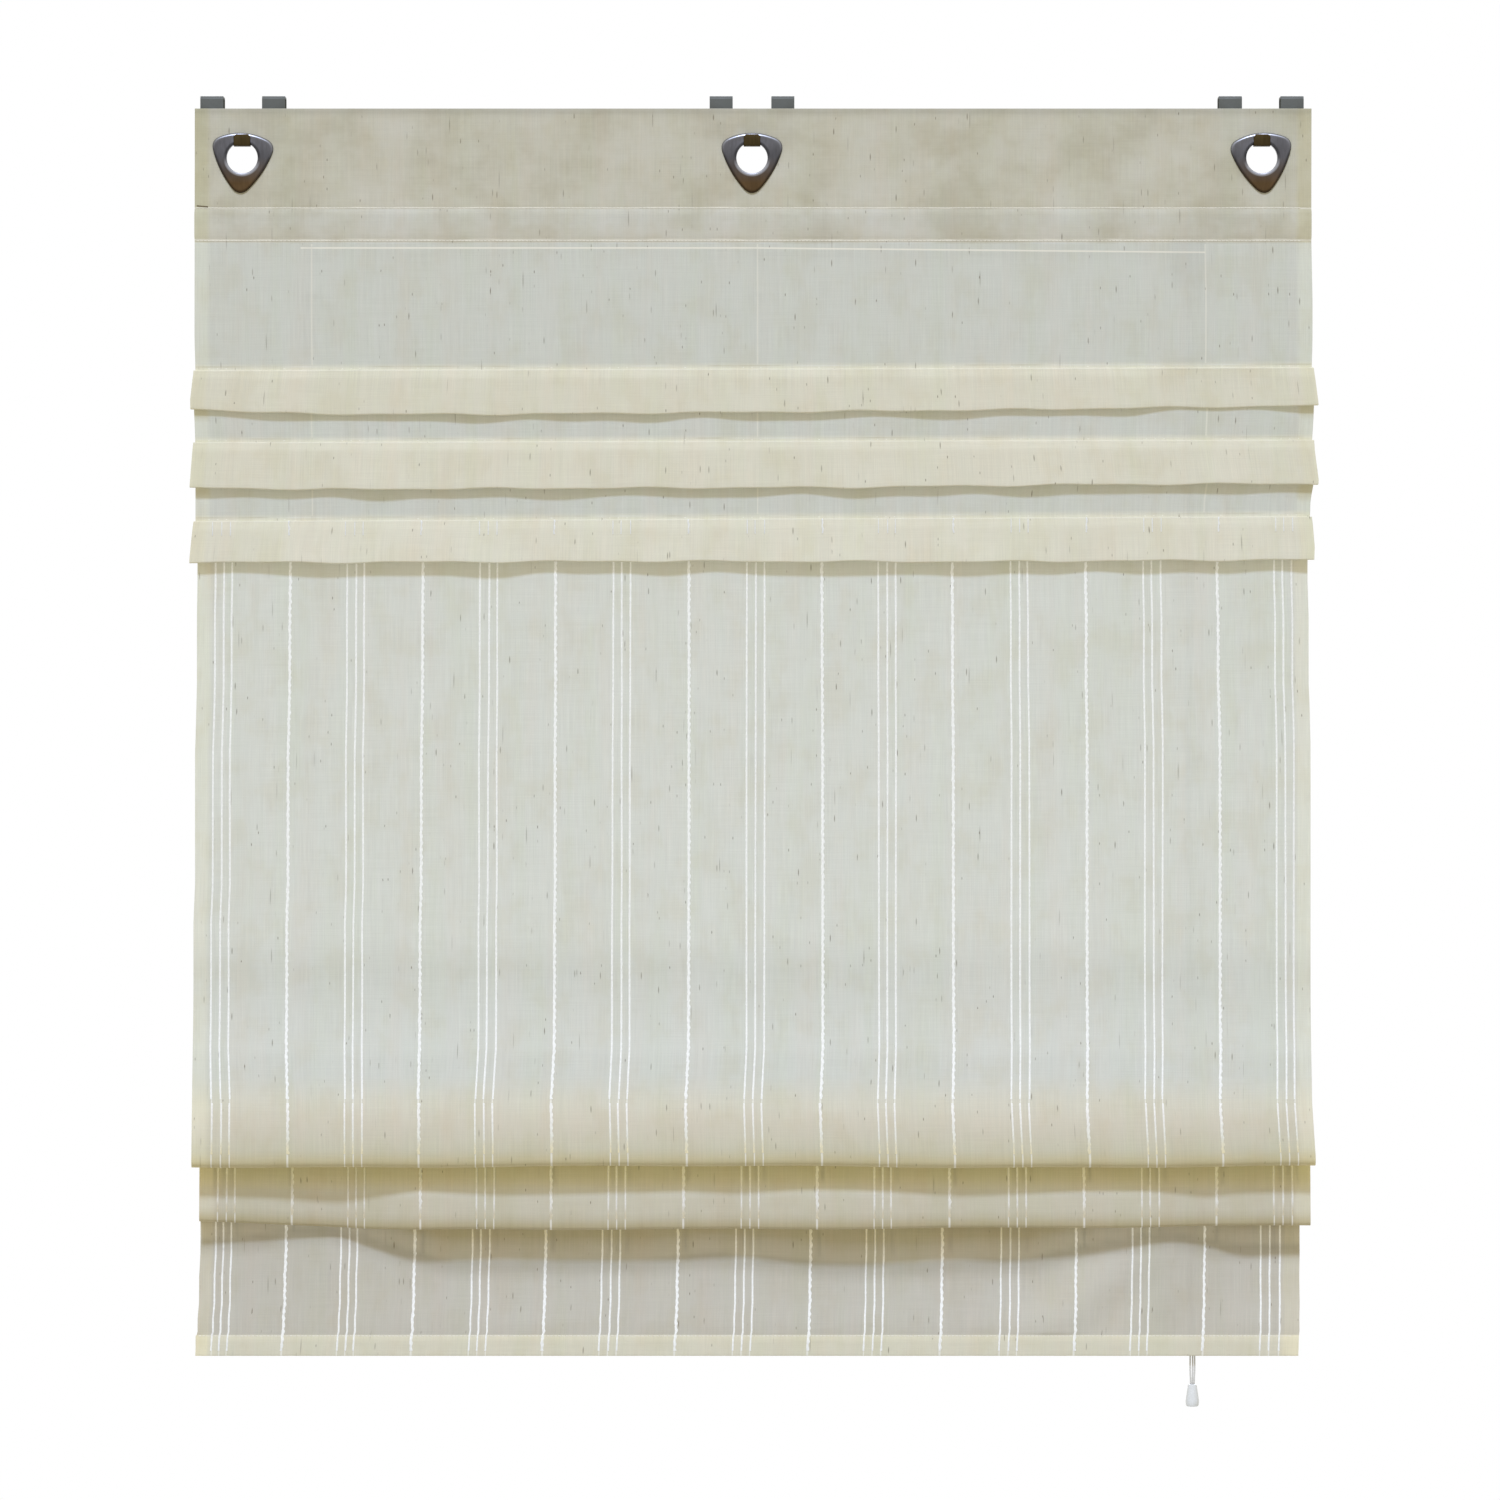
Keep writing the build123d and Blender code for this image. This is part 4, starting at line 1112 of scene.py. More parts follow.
class BLIND_OT_upper_cloth(BlindOperator):
    """Header, batten pocket and three stitched tucks"""

    bl_idname = "blind.upper_cloth"
    bl_label = "Upper cloth"

    def execute(self, context):
        shades = colours()
        xs = columns(sizes().column)
        yz, marks = upper_columns(xs)
        tones = (shades.header, shades.pocket, shades.upper, shades.tuck)
        header, pocket, upper, tuck = (np.array(c) for c in tones)
        levels = [
            (0.0, pocket), (3.0, pocket), (3.2, header), (4.9, header), (5.0, header * TOP_SHADE),
            (5.035, header * TOP_SHADE), (5.08, header), (6.95, header), (7.3, pocket * POCKET_HIGH),
            (8.3, pocket * POCKET_HIGH), (9.3, pocket * POCKET_LOW), (10.0, pocket * POCKET_LOW),
            (10.3, upper),
        ]
        kinds = [(10.5, HEADER), (10.51, SINGLE)]
        hems = [(10.0, HEADER_HEM), (10.3, SINGLE_HEM)]
        at = FIRST_TUCK
        for _ in TUCK_SEAMS:
            # Each tuck is painted lighter along its crest: a painted highlight
            levels += [
                (at - 0.03, upper), (at, tuck * 1.05), (at + 1.2, tuck), (at + 5.2, tuck),
                (at + 6.0, upper),
            ]
            kinds += [(at - 0.03, SINGLE), (at, 0.0), (at + 5.9, 0.0), (at + 6.0, SINGLE)]
            hems += [(at - 0.03, SINGLE_HEM), (at, TUCK_HEM), (at + 5.9, TUCK_HEM), (at + 6.0, SINGLE_HEM)]
            at += TUCK_CORNERS
        shade = np.broadcast_to(shade_of(marks, levels)[None], (*yz.shape[:2], 3))
        shade = hemmed(xs, shade, shade_of(marks, hems)[None])
        # Painted shadow on the doubled side hems under each tuck
        at_hem = hem_share(xs)[:, None]
        at = FIRST_TUCK
        for seam, depth in zip(TUCK_SEAMS, TUCK_DEPTHS):
            under = np.clip((yz[..., 1] - (seam - depth - 0.011)) / 0.002, 0, 1) * at_hem
            under = under * ((marks > at + 5.5) & (marks < at + TUCK_CORNERS))[None]
            shade = shade * (1 + under[..., None] * (np.array(HEM_TUCK_SHADOW) - 1))
            at += TUCK_CORNERS
        kind = np.interp(marks, [p for p, _ in kinds], [v for _, v in kinds])
        shade = np.concatenate([shade, np.broadcast_to(kind[None, :, None], (*yz.shape[:2], 1))], axis=-1)
        out = np.clip((FRONT_Y - yz[..., 0]) / sizes().tuck_reach, 0, 1.2)
        across = xs[:, None] * (1 + TUCK_FLARE * out) + side_drift(xs, -yz[..., 1], UPPER_LEFT, UPPER_RIGHT)
        holes = [(x, EYELET_Z, sizes().eyelet + 0.0016) for x in HANGER_XS]
        piece = sheet_piece("upper_sheet", [(placed(across, yz), xs, run_of(yz), shade)], holes)
        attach(piece, "head")
        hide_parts("upper_cloth")
        return {"FINISHED"}


TUCK_FLARE = 0.0082
TOP_SHADE = np.array((0.86, 0.86, 0.86))
POCKET_HIGH = np.array((1.0, 1.01, 1.02))
POCKET_LOW = np.array((0.985, 0.965, 0.94))
# Tint of the painted shadow on the side hems under each tuck
HEM_TUCK_SHADOW = (0.9, 0.87, 0.78)


class BLIND_OT_striped_panel(BlindOperator):
    """Flat panel between the tucks and the folds, with turned side hems"""

    bl_idname = "blind.striped_panel"
    bl_label = "Striped panel"

    def execute(self, context):
        shades = colours()
        half, hem = sizes().half_width, sizes().side_hem
        xs = columns(sizes().column)
        yz, marks = panel_columns(xs)
        single, fold = np.array(shades.single), np.array(shades.fold)
        # Painted shade where the panel bows forward and leans towards the folds
        bow = single * np.array(BOW_SHADE)
        levels = [
            (0.0, single * 0.97), (0.4, single), (2.6, single), (3.2, bow), (3.5, bow),
            (4.0, fold * FOLD_START),
        ]
        shade = hemmed(xs, np.broadcast_to(shade_of(marks, levels)[None], (*yz.shape[:2], 3)), PANEL_HEM)
        grids = [(placed(panel_across(xs, marks), yz), xs - stripe_drift(xs), run_of(yz), shade)]
        for side in (-1, 1):
            band = side * np.linspace(half - hem, half - 0.0004, 4)
            back, _ = panel_columns(band)
            back = back.copy()
            back[..., 0] += BAND_BACK
            tint = np.broadcast_to(np.array(shades.hem), (*back.shape[:2], 3))
            grids.append(
                (placed(panel_across(band, marks), back), band + side * BAND_SHIFT, run_of(back), tint)
            )
        piece = sheet_piece("panel_sheet", grids)
        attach(piece, "head")
        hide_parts("striped_panel")
        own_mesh(piece)
        return {"FINISHED"}


BAND_BACK = 0.00085
BAND_SHIFT = 0.035
HEM_LIGHT = 1.05
# Tint of the painted shade on the bowed part of the panel
BOW_SHADE = (0.905, 0.905, 0.9)
FOLD_START = np.array((1.01, 1.02, 1.03))


class BLIND_OT_lower_folds(BlindOperator):
    """Two soft folds, bottom flap and hem"""

    bl_idname = "blind.lower_folds"
    bl_label = "Lower folds"

    def execute(self, context):
        shades = colours()
        xs = columns(sizes().column)
        yz, marks = lower_columns(xs)
        fold, flap, band = (np.array(c) for c in (shades.fold, shades.flap, shades.hem))
        levels = [
            (0.0, fold * FOLD_START), (0.15, fold), (8.5, fold), (9.0, flap), (12.95, flap),
            (13.0, band * HEM_LIGHT), (13.25, band), (16.0, band),
        ]
        hems = [(0.0, PANEL_HEM), (0.4, FOLD_HEM), (8.5, FOLD_HEM), (9.0, FLAP_HEM)]
        shade = np.broadcast_to(shade_of(marks, levels)[None], (*yz.shape[:2], 3))
        shade = hemmed(xs, shade, shade_of(marks, hems)[None])
        plain = shade
        # Painted shadow, deeper and warmer, where the folds hang over the cloth, and painted shade towards
        # their lower edges
        for low, high, rise, steps in PAINTED_SHADOWS:
            heights = yz[..., 1] - soft_line(xs, rise, RISE_SPREAD)[:, None]
            shade = painted(shade, heights, (marks > low) & (marks < high), steps)
        for low, high, steps in ROLL_SHADES:
            near = (marks > low) & (marks < high)
            shade = painted(shade, yz[..., 1] - yz[:, near, 1].min(axis=1)[:, None], near, steps)
        # Painted light beside the flap's crease
        on_flap = swell(marks, LIGHT_MARKS)
        shade = shade * (1 + on_flap[None] * crease_light(xs, yz[..., 1]))[..., None]
        across = lower_across(xs, marks)
        run = run_of(panel_columns(xs)[0])[-1] + run_of(yz)
        piece = sheet_piece("folds_sheet", [(placed(across, yz), xs - stripe_drift(xs), run, shade)])
        # The back keeps the tone without the painted shadows, shade and light
        tone_back(piece, plain)
        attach(piece, "stack")
        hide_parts("lower_folds")
        return {"FINISHED"}


RISE_SPREAD = 0.02
LEVEL = ((0.0, 0.0),)
# How much higher the painted shadow on the flap ends across the width
FLAP_RISE = (
    (-0.5, 0.019), (-0.46, 0.021), (-0.379, 0.032), (-0.325, 0.016), (-0.271, 0.0), (-0.09, 0.0),
    (-0.029, 0.006), (0.034, 0.002), (0.088, -0.003), (0.142, -0.003), (0.205, 0.0), (0.259, 0.001),
    (0.317, 0.016), (0.385, 0.027), (0.443, 0.014), (0.5, 0.014),
)
# Painted shadows under the folds: marks between, rises across the width, and tints by height
PAINTED_SHADOWS = (
    (3.5, 5.5, LEVEL, (
        (-0.93, (0.92, 0.86, 0.57)), (-0.942, (0.92, 0.87, 0.61)), (-0.9485, (0.98, 0.93, 0.75)),
        (-0.956, (1, 1, 1)),
    )),
    (8.5, 11.9, FLAP_RISE, (
        (-0.965, (1, 1, 1)), (-0.982, (0.92, 0.84, 0.57)), (-0.998, (0.87, 0.8, 0.59)),
        (-1.005, (0.95, 0.91, 0.8)), (-1.0107, (0.985, 0.955, 0.88)), (-1.016, (0.965, 0.945, 0.885)),
        (-1.0205, (0.81, 0.795, 0.75)), (-1.0268, (0.85, 0.835, 0.805)), (-1.0322, (0.94, 0.933, 0.92)),
        (-1.038, (1, 1, 1)),
    )),
)
# Painted shade towards the folds' rolled lower edges: marks between, and tints by height over the lower edge
ROLL_SHADES = (
    (0.0, 1.9, (
        (0.052, (1, 1, 1)), (0.0415, (0.99, 0.97, 0.955)), (0.0305, (0.957, 0.936, 0.909)),
        (0.02, (0.92, 0.91, 0.85)), (0.0145, (0.885, 0.875, 0.8)), (0.009, (0.85, 0.805, 0.65)),
        (0.0, (0.87, 0.785, 0.54)),
    )),
    (4.0, 5.9, (
        (0.036, (1, 1, 1)), (0.027, (0.92, 0.9, 0.86)), (0.012, (0.88, 0.86, 0.82)),
        (0.005, (0.72, 0.66, 0.52)), (0.0, (0.72, 0.65, 0.49)),
    )),
)


def stripe_places():
    """Middle and width of every stripe."""
    groups = [(i - 4) * HEM_STRIPE_PITCH for i in range(9)]
    fine = [(x + k * sizes().fine_pitch, sizes().fine_line, False) for x in groups for k in (-1, 0, 1)]
    single = [(x + HEM_STRIPE_PITCH / 2, sizes().single_line, True) for x in groups[:-1]]
    return [(x + float(stripe_drift(x)), width, alone) for x, width, alone in fine + single]


def straight_across(xs, marks):
    """Columns that hang straight down."""
    return np.broadcast_to(np.asarray(xs)[:, None], (len(xs), len(marks)))


def fold_shade(marks, heights, x):
    """Painted shadow and shade on a stripe under the folds and towards their lower edges."""
    shade = np.ones((1, len(marks), 3))
    for low, high, rise, steps in PAINTED_SHADOWS:
        above = heights[None] - float(soft_line(x, rise, RISE_SPREAD))
        shade = painted(shade, above, (marks > low) & (marks < high), steps)
    for low, high, steps in ROLL_SHADES:
        near = (marks > low) & (marks < high)
        if near.any():
            shade = painted(shade, heights[None] - heights[near].min(), near, steps)
    return shade[0]


def ridge_rows(shape, spread, x, span, step):
    """Places along one column of cloth within a span of marks: run, x, y, z, the way out and the painted
    shade under the folds.
    """
    yz, marks = shape(np.array([x]))
    run = run_of(yz)
    inside = (marks >= span[0]) & (marks <= span[1])
    first, last = run[inside][0], run[inside][-1]
    at = np.linspace(first, last, int((last - first) / step) + 2)
    px = np.interp(at, run, spread(np.array([x]), marks)[0])
    y, z = np.interp(at, run, yz[0, :, 0]), np.interp(at, run, yz[0, :, 1])
    ty, tz = np.gradient(y, at), np.gradient(z, at)
    size = np.hypot(ty, tz)
    shade = fold_shade(np.interp(at, run, marks), z, x) if shape is lower_columns else None
    return at, px, y, z, tz / size, -ty / size, shade


def stripe_piece(name, shape, spans, spread=straight_across, lines=None, tint=1.0):
    """Raised yarn along the cloth: a low ridge with scalloped edges on the single lines."""
    vertices, faces, uvs, tones = [], [], [], []
    rng = np.random.default_rng(YARN_SEED)
    for x, width, alone in lines or stripe_places():
        sway = 0.0004 * np.sin(np.linspace(0, 7, 400) + rng.uniform(0, 6))
        for span in spans:
            at, px, y, z, ny, nz, shade = ridge_rows(shape, spread, x, span, 0.0012 if alone else 0.0024)
            shift = px + np.interp(at, np.linspace(0, 1.2, 400), sway)
            if alone:
                wave = at / LOOP_LENGTH * 2 * math.pi + rng.uniform(0, 6)
                shift = shift + 0.00022 * np.sin(wave) + 0.0002 * np.sin(0.37 * wave + 1.0)
                broad = width / 2 * (0.85 + 0.16 * np.sin(wave + 0.6) + rng.uniform(-0.12, 0.12, len(at)))
            else:
                broad = width / 2 * (0.92 + rng.uniform(-0.14, 0.14, len(at)))
            offset = sum(len(v) for v in vertices)
            rows = []
            for share, lift in YARN_PROFILE:
                rows.append(np.stack([shift + share * broad, y + ny * lift, z + nz * lift], axis=1))
            grid = np.stack(rows, axis=1)
            vertices.append(grid.reshape(-1, 3))
            uvs.append(np.stack([grid[..., 0], np.repeat(at[:, None], 4, axis=1)], axis=2).reshape(-1, 2))
            shade = np.full((len(at), 3), tint) if shade is None else shade
            tones.append(np.repeat(np.concatenate([shade, np.ones((len(at), 1))], axis=1), 4, axis=0))
            i, j = np.meshgrid(np.arange(len(at) - 1), np.arange(3), indexing="ij")
            a = (offset + i * 4 + j).ravel()
            faces.append(np.stack([a, a + 4, a + 5, a + 1], axis=1))
    vertices, faces, uvs, tones = (np.concatenate(v) for v in (vertices, faces, uvs, tones))
    piece = woven(name, vertices, faces, uvs, tones)
    edit_all(piece)
    bpy.ops.mesh.flip_normals()
    bpy.ops.object.mode_set(mode="OBJECT")
    active(piece)
    bpy.ops.object.shade_smooth()
    paint_piece(piece, stripe_material())
    return piece


TICK_TINT = 0.88
YARN_SEED = 12
LOOP_LENGTH = 0.0062
# Shares of a stripe's half width, and heights over the cloth
YARN_PROFILE = ((-1.0, 0.00026), (-0.5, 0.00055), (0.5, 0.00055), (1.0, 0.00026))


class BLIND_OT_stripes(BlindOperator):
    """Raised white stripes on the panel, the folds and the flap"""

    bl_idname = "blind.stripes"
    bl_label = "Stripes"

    def execute(self, context):
        panel = stripe_piece("panel_yarn", panel_columns, [(0.0, 3.996)], panel_across)
        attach(panel, "head")
        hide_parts("panel_stripes")
        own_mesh(panel)
        spans = [(0.0, 0.99), (4.05, 4.99), (9.1, 13.99)]
        folds = stripe_piece("folds_yarn", lower_columns, spans, lower_across)
        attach(folds, "stack")
        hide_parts("fold_stripes")
        third = FIRST_TUCK + 2 * TUCK_CORNERS
        ticks = [(x, 0.6 * width, alone) for x, width, alone in stripe_places()]
        spans = [(third + 0.3, third + 2.13)]
        tuck = stripe_piece("tuck_yarn", upper_columns, spans, lines=ticks, tint=TICK_TINT)
        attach(tuck, "head")
        return {"FINISHED"}


# Eyelets, hangers, rings, cords and pull


def arc_through(start, middle, end, count):
    """Points on the arc from start through middle to end."""
    (ax, az), (bx, bz), (cx, cz) = start, middle, end
    turn = 2 * (ax * (bz - cz) + bx * (cz - az) + cx * (az - bz))
    a, b, c = ax**2 + az**2, bx**2 + bz**2, cx**2 + cz**2
    ox = (a * (bz - cz) + b * (cz - az) + c * (az - bz)) / turn
    oz = (a * (cx - bx) + b * (ax - cx) + c * (bx - ax)) / turn
    first, mid, last = (math.atan2(z - oz, x - ox) for x, z in (start, middle, end))
    mid = first + (mid - first + math.pi) % (2 * math.pi) - math.pi
    last = mid + (last - mid + math.pi) % (2 * math.pi) - math.pi
    radius = math.hypot(ax - ox, az - oz)
    angles = np.linspace(first, last, count)
    return np.stack([ox + radius * np.cos(angles), oz + radius * np.sin(angles)], axis=1)


def shield_outline(edge_points=34, corner_points=11, ease=0.0078, tip_ease=0.0100):
    """Outline of the eyelet about its hole: three arcs that meet in eased corners."""
    left, right, top, tip = (-0.0290, 0.0137), (0.0290, 0.0137), (0.0, 0.02263), (0.0, -0.0351)
    arcs = [
        arc_through(right, top, left, 200),
        arc_through(left, (-0.01845, -0.0131), tip, 200),
        arc_through(tip, (0.01845, -0.0131), right, 200),
    ]
    trimmed = []
    for arc, before, after in zip(arcs, (ease, ease, tip_ease), (ease, tip_ease, ease)):
        run = np.concatenate([[0.0], np.cumsum(np.linalg.norm(np.diff(arc, axis=0), axis=1))])
        at = np.linspace(before, run[-1] - after, edge_points)
        trimmed.append(np.stack([np.interp(at, run, arc[:, k]) for k in (0, 1)], axis=1))
    outline = []
    for arc, after, corner in zip(trimmed, trimmed[1:] + trimmed[:1], (left, tip, right)):
        outline.append(arc)
        t = np.linspace(0, 1, corner_points + 2)[1:-1, None]
        outline.append((1 - t) ** 2 * arc[-1] + 2 * t * (1 - t) * np.array(corner) + t**2 * after[0])
    return np.concatenate(outline)


def edge_light(away, rise):
    """Painted highlight and shade on an eyelet's edge: light on the outline at the top, on the hole's rim at
    the bottom.
    """
    light = 3.2 * (rise - 0.25) if away < 0 else -2.5 * (rise + 0.1)
    return float(np.clip(light, -0.8, 1.0))


def eyelet_ring(name, levels):
    """Closed ring between the hole and the shield's outline.

    Each level is a distance from the hole, or a negative one from the outline, a y and how strongly the
    painted highlight and shade show on it.
    """
    outline = shield_outline()
    spokes = len(outline)
    reach = np.linalg.norm(outline, axis=1)
    ways = outline / reach[:, None]
    clear_selection()
    bpy.ops.mesh.primitive_circle_add(vertices=spokes, radius=sizes().eyelet, fill_type="NOTHING")
    piece = bpy.context.active_object
    mesh = bmesh.new()
    painted_edge_light = mesh.verts.layers.float.new("painted_edge_light")
    rings = []
    for away, y, shine in levels:
        radius = reach + away if away < 0 else np.full(spokes, sizes().eyelet + away)
        ring = [mesh.verts.new((r * w[0], y, r * w[1])) for r, w in zip(radius, ways)]
        for vertex, way in zip(ring, ways):
            vertex[painted_edge_light] = 0.5 + 0.5 * shine * edge_light(away, way[1])
        rings.append(ring)
    for first, second in zip(rings, rings[1:] + rings[:1]):
        for i in range(spokes):
            k = (i + 1) % spokes
            mesh.faces.new((first[i], first[k], second[k], second[i]))
    bmesh.ops.recalc_face_normals(mesh, faces=mesh.faces)
    mesh.to_mesh(piece.data)
    mesh.free()
    piece.name = name
    return piece


# Eyelets hang a little askew, in degrees
EYELET_TURNS = (4.0, 0.0, -5.0)


class BLIND_OT_eyelets(BlindOperator):
    """Shield-shaped eyelets: domed front with a barrel, flat back"""

    bl_idname = "blind.eyelets"
    bl_label = "Eyelets"

    def execute(self, context):
        front, mid, back = FRONT_Y - 0.00035, -0.0033, -0.0047
        # Third values: how strongly the painted highlight and shade show on each level
        dome = [
            (0.0, mid, 0.2), (0.0, front - 0.0018, 0.6), (0.0004, front - 0.0024, 1.0),
            (0.0012, front - 0.0027, 1.0), (0.0022, front - 0.0026, 0.7), (0.0030, front - 0.0023, 0.0),
            (-0.0040, front - 0.0023, 0.0), (-0.0026, front - 0.00225, 0.1),
            (-0.0018, front - 0.0021, 0.75), (-0.0008, front - 0.0014, 1.0), (-0.0002, front - 0.0006, 0.8),
            (-0.0001, front, 0.3), (0.004, front, 0.0), (0.0012, front, 0.0), (0.0012, mid, 0.0),
        ]
        flat = [
            (0.0013, mid, 0.2), (0.0013, back + 0.0003, 0.5), (0.0018, back, 0.5), (-0.003, back, 0.0),
            (-0.0008, back, 0.5), (-0.0003, back + 0.0004, 0.6), (-0.0003, -0.0035, 0.3),
            (-0.0008, mid, 0.0), (0.004, mid, 0.0),
        ]
        rims = (("eyelet_front_rims", dome, "eyelet_fronts"), ("eyelet_back_rims", flat, "eyelet_backs"))
        for name, levels, node in rims:
            copies = []
            for x in HANGER_XS:
                piece = eyelet_ring(f"{name}_blank", levels)
                piece.location = (x, 0, EYELET_Z)
                piece.rotation_euler = (0, math.radians(EYELET_TURNS[HANGER_XS.index(x)]), 0)
                copies.append(settle(piece, f"{name}_blank"))
            whole = join(copies, name)
            paint_piece(whole, nickel_material())
            smooth(whole, 30)
            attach(whole, "head")
            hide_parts(node)
        return {"FINISHED"}


class BLIND_OT_hangers(BlindOperator):
    """Sash hangers, their hooks and rivets"""

    bl_idname = "blind.hangers"
    bl_label = "Hangers"

    def execute(self, context):
        shades = colours()
        tab = plain_material(
            "hanger_grey", shades.tab, 0.5, grain=(900.0, 900.0, 900.0), depth=0.05, bump=0.08,
        )
        bronze = plain_material(
            "hook_bronze", shades.bronze, 0.5, metal=0.95, grain=(600.0, 600.0, 90.0), depth=0.12,
        )
        for side in SIDES:
            dressed(f"hanger_bracket_{side}", f"sash_bracket_{side}", tab, 0.0003)
            dressed(f"hanger_hook_{side}", f"eyelet_hook_{side}", bronze, 0.0004, 3)
        dressed("hanger_rivets", "hook_rivets", bronze, 0.0003)
        return {"FINISHED"}


def pressed(piece, share):
    """A ring flattened along its own axis."""
    edit_all(piece)
    bpy.ops.transform.resize(value=(1.0, 1.0, share), orient_type="LOCAL")
    bpy.ops.object.mode_set(mode="OBJECT")
    return piece


def torus(x, y, z, turn):
    """One moulded ring, turned about Y."""
    bpy.ops.mesh.primitive_torus_add(
        location=(x, y, z), rotation=(0, turn, 0), major_radius=RING_RADIUS, minor_radius=RING_WIRE,
        major_segments=40, minor_segments=12,
    )
    return pressed(bpy.context.active_object, RING_PRESS)


def ring_place(row):
    """Y and z of a row of rings and its turn: the last row is turned, the one above it stands forward."""
    if row == 6:
        return RING_Y, RING_ROW_6_Z, math.pi / 2
    return RING_Y - 2 * CREST_1_STEP if row == 5 else RING_Y, RING_ROWS[row], 0.0


RING_RADIUS = 0.006
RING_WIRE = 0.001
RING_PRESS = 0.92
RING_BODIES = {1: "head", 2: "head", 3: "rings_upper", 4: "rings_lower", 5: "stack", 6: "stack"}


class BLIND_OT_rings(BlindOperator):
    """Rows of rings that guide the cords"""

    bl_idname = "blind.rings"
    bl_label = "Rings"

    def execute(self, context):
        for row, body in RING_BODIES.items():
            clear_selection()
            y, z, turn = ring_place(row)
            piece = join([torus(x, y, z, turn) for x in CORD_COLUMNS], f"cord_rings_{row}")
            self.finish(piece, body, f"ring_row_{row}")
        for side, (x, z) in GUIDE_RINGS.items():
            clear_selection()
            piece = settle(torus(x, RING_Y, z, math.pi / 4), f"guide_loop_{side}")
            self.finish(piece, "head", f"guide_ring_{side}")
        return {"FINISHED"}

    def finish(self, piece, body, node):
        paint_piece(piece, plastic_material())
        active(piece)
        bpy.ops.object.shade_smooth()
        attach(piece, body)
        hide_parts(node)


def spline_points(route):
    """Points along a smooth spline through a route's control points."""
    curve = bpy.data.curves.new("route", "CURVE")
    curve.dimensions = "3D"
    spline = curve.splines.new("NURBS")
    spline.points.add(len(route) - 1)
    for point, place in zip(spline.points, route):
        point.co = (*place, 1.0)
    spline.order_u = 3
    spline.use_endpoint_u = True
    spline.resolution_u = 10
    holder = bpy.data.objects.new("route", curve)
    mesh = bpy.data.meshes.new_from_object(holder)
    points = np.array([v.co for v in mesh.vertices], float)
    bpy.data.meshes.remove(mesh)
    bpy.data.objects.remove(holder)
    bpy.data.curves.remove(curve)
    return points


def cord_tube(name, points, diameter, sides=10):
    """Round tube along points, capped, with a UV map that runs along it."""
    points = np.asarray(points, float)
    steps = np.gradient(points, axis=0)
    ways = steps / np.linalg.norm(steps, axis=1, keepdims=True)
    run = np.concatenate([[0.0], np.cumsum(np.linalg.norm(np.diff(points, axis=0), axis=1))])
    aside = np.array([0.0, 1.0, 0.0])
    other = np.cross(ways, aside)
    other /= np.linalg.norm(other, axis=1, keepdims=True)
    turn = np.linspace(0, 2 * math.pi, sides, endpoint=False)
    rings = points[:, None] + diameter / 2 * (
        np.cos(turn)[None, :, None] * aside + np.sin(turn)[None, :, None] * other[:, None]
    )
    count = len(points)
    faces = []
    uvs = []
    for i in range(count - 1):
        for k in range(sides):
            n = (k + 1) % sides
            faces.append((i * sides + k, i * sides + n, (i + 1) * sides + n, (i + 1) * sides + k))
            u, w = k / sides, (k + 1) / sides
            uvs += [(u, run[i]), (w, run[i]), (w, run[i + 1]), (u, run[i + 1])]
    for ring, order in ((0, -1), (count - 1, 1)):
        faces.append(tuple(ring * sides + k for k in range(sides))[::order])
        uvs += [(0.5, run[ring])] * sides
    mesh = bpy.data.meshes.new(name)
    mesh.from_pydata(rings.reshape(-1, 3).tolist(), [], faces)
    layer = mesh.uv_layers.new(name="weave")
    layer.data.foreach_set("uv", np.array(uvs, np.float32).ravel())
    piece = linked(name, mesh)
    edit_all(piece)
    bpy.ops.mesh.normals_make_consistent(inside=False)
    bpy.ops.object.mode_set(mode="OBJECT")
    paint_piece(piece, cord_material())
    smooth(piece, 50)
    return piece


HEAD_ROUTES = {
    "left": [
        (-0.395, -0.120), (-0.395, -0.108), (-0.383, -0.108), (0.38, -0.108), (0.3945, -0.108),
        (0.3945, -0.1185),
    ],
    "middle": [
        (0.005, -0.122), (0.005, -0.110), (0.017, -0.110), (0.38, -0.110), (0.3925, -0.110),
        (0.3925, -0.1185),
    ],
    "right": [
        (0.405, -0.1165), (0.405, -0.1125), (0.405, -0.10825), (0.3965, -0.10825), (0.3965, -0.1125),
        (0.3965, -0.1185),
    ],
}
LIFT_TOPS = {"left": (-0.395, -0.120), "middle": (0.005, -0.122), "right": (0.405, -0.1165)}
CORD_END_Z = -0.88115
STRAND_TOPS = {"left": 0.3945, "middle": 0.3925, "right": 0.3965}
STRAND_TOP_Z = -0.1185
STRAND_END_Z = -1.133
STRAND_ENDS = {"left": 0.0, "middle": -0.0015, "right": 0.0015}
STRAND_BULGES = {"left": 0.0004, "middle": -0.0006, "right": 0.0008}


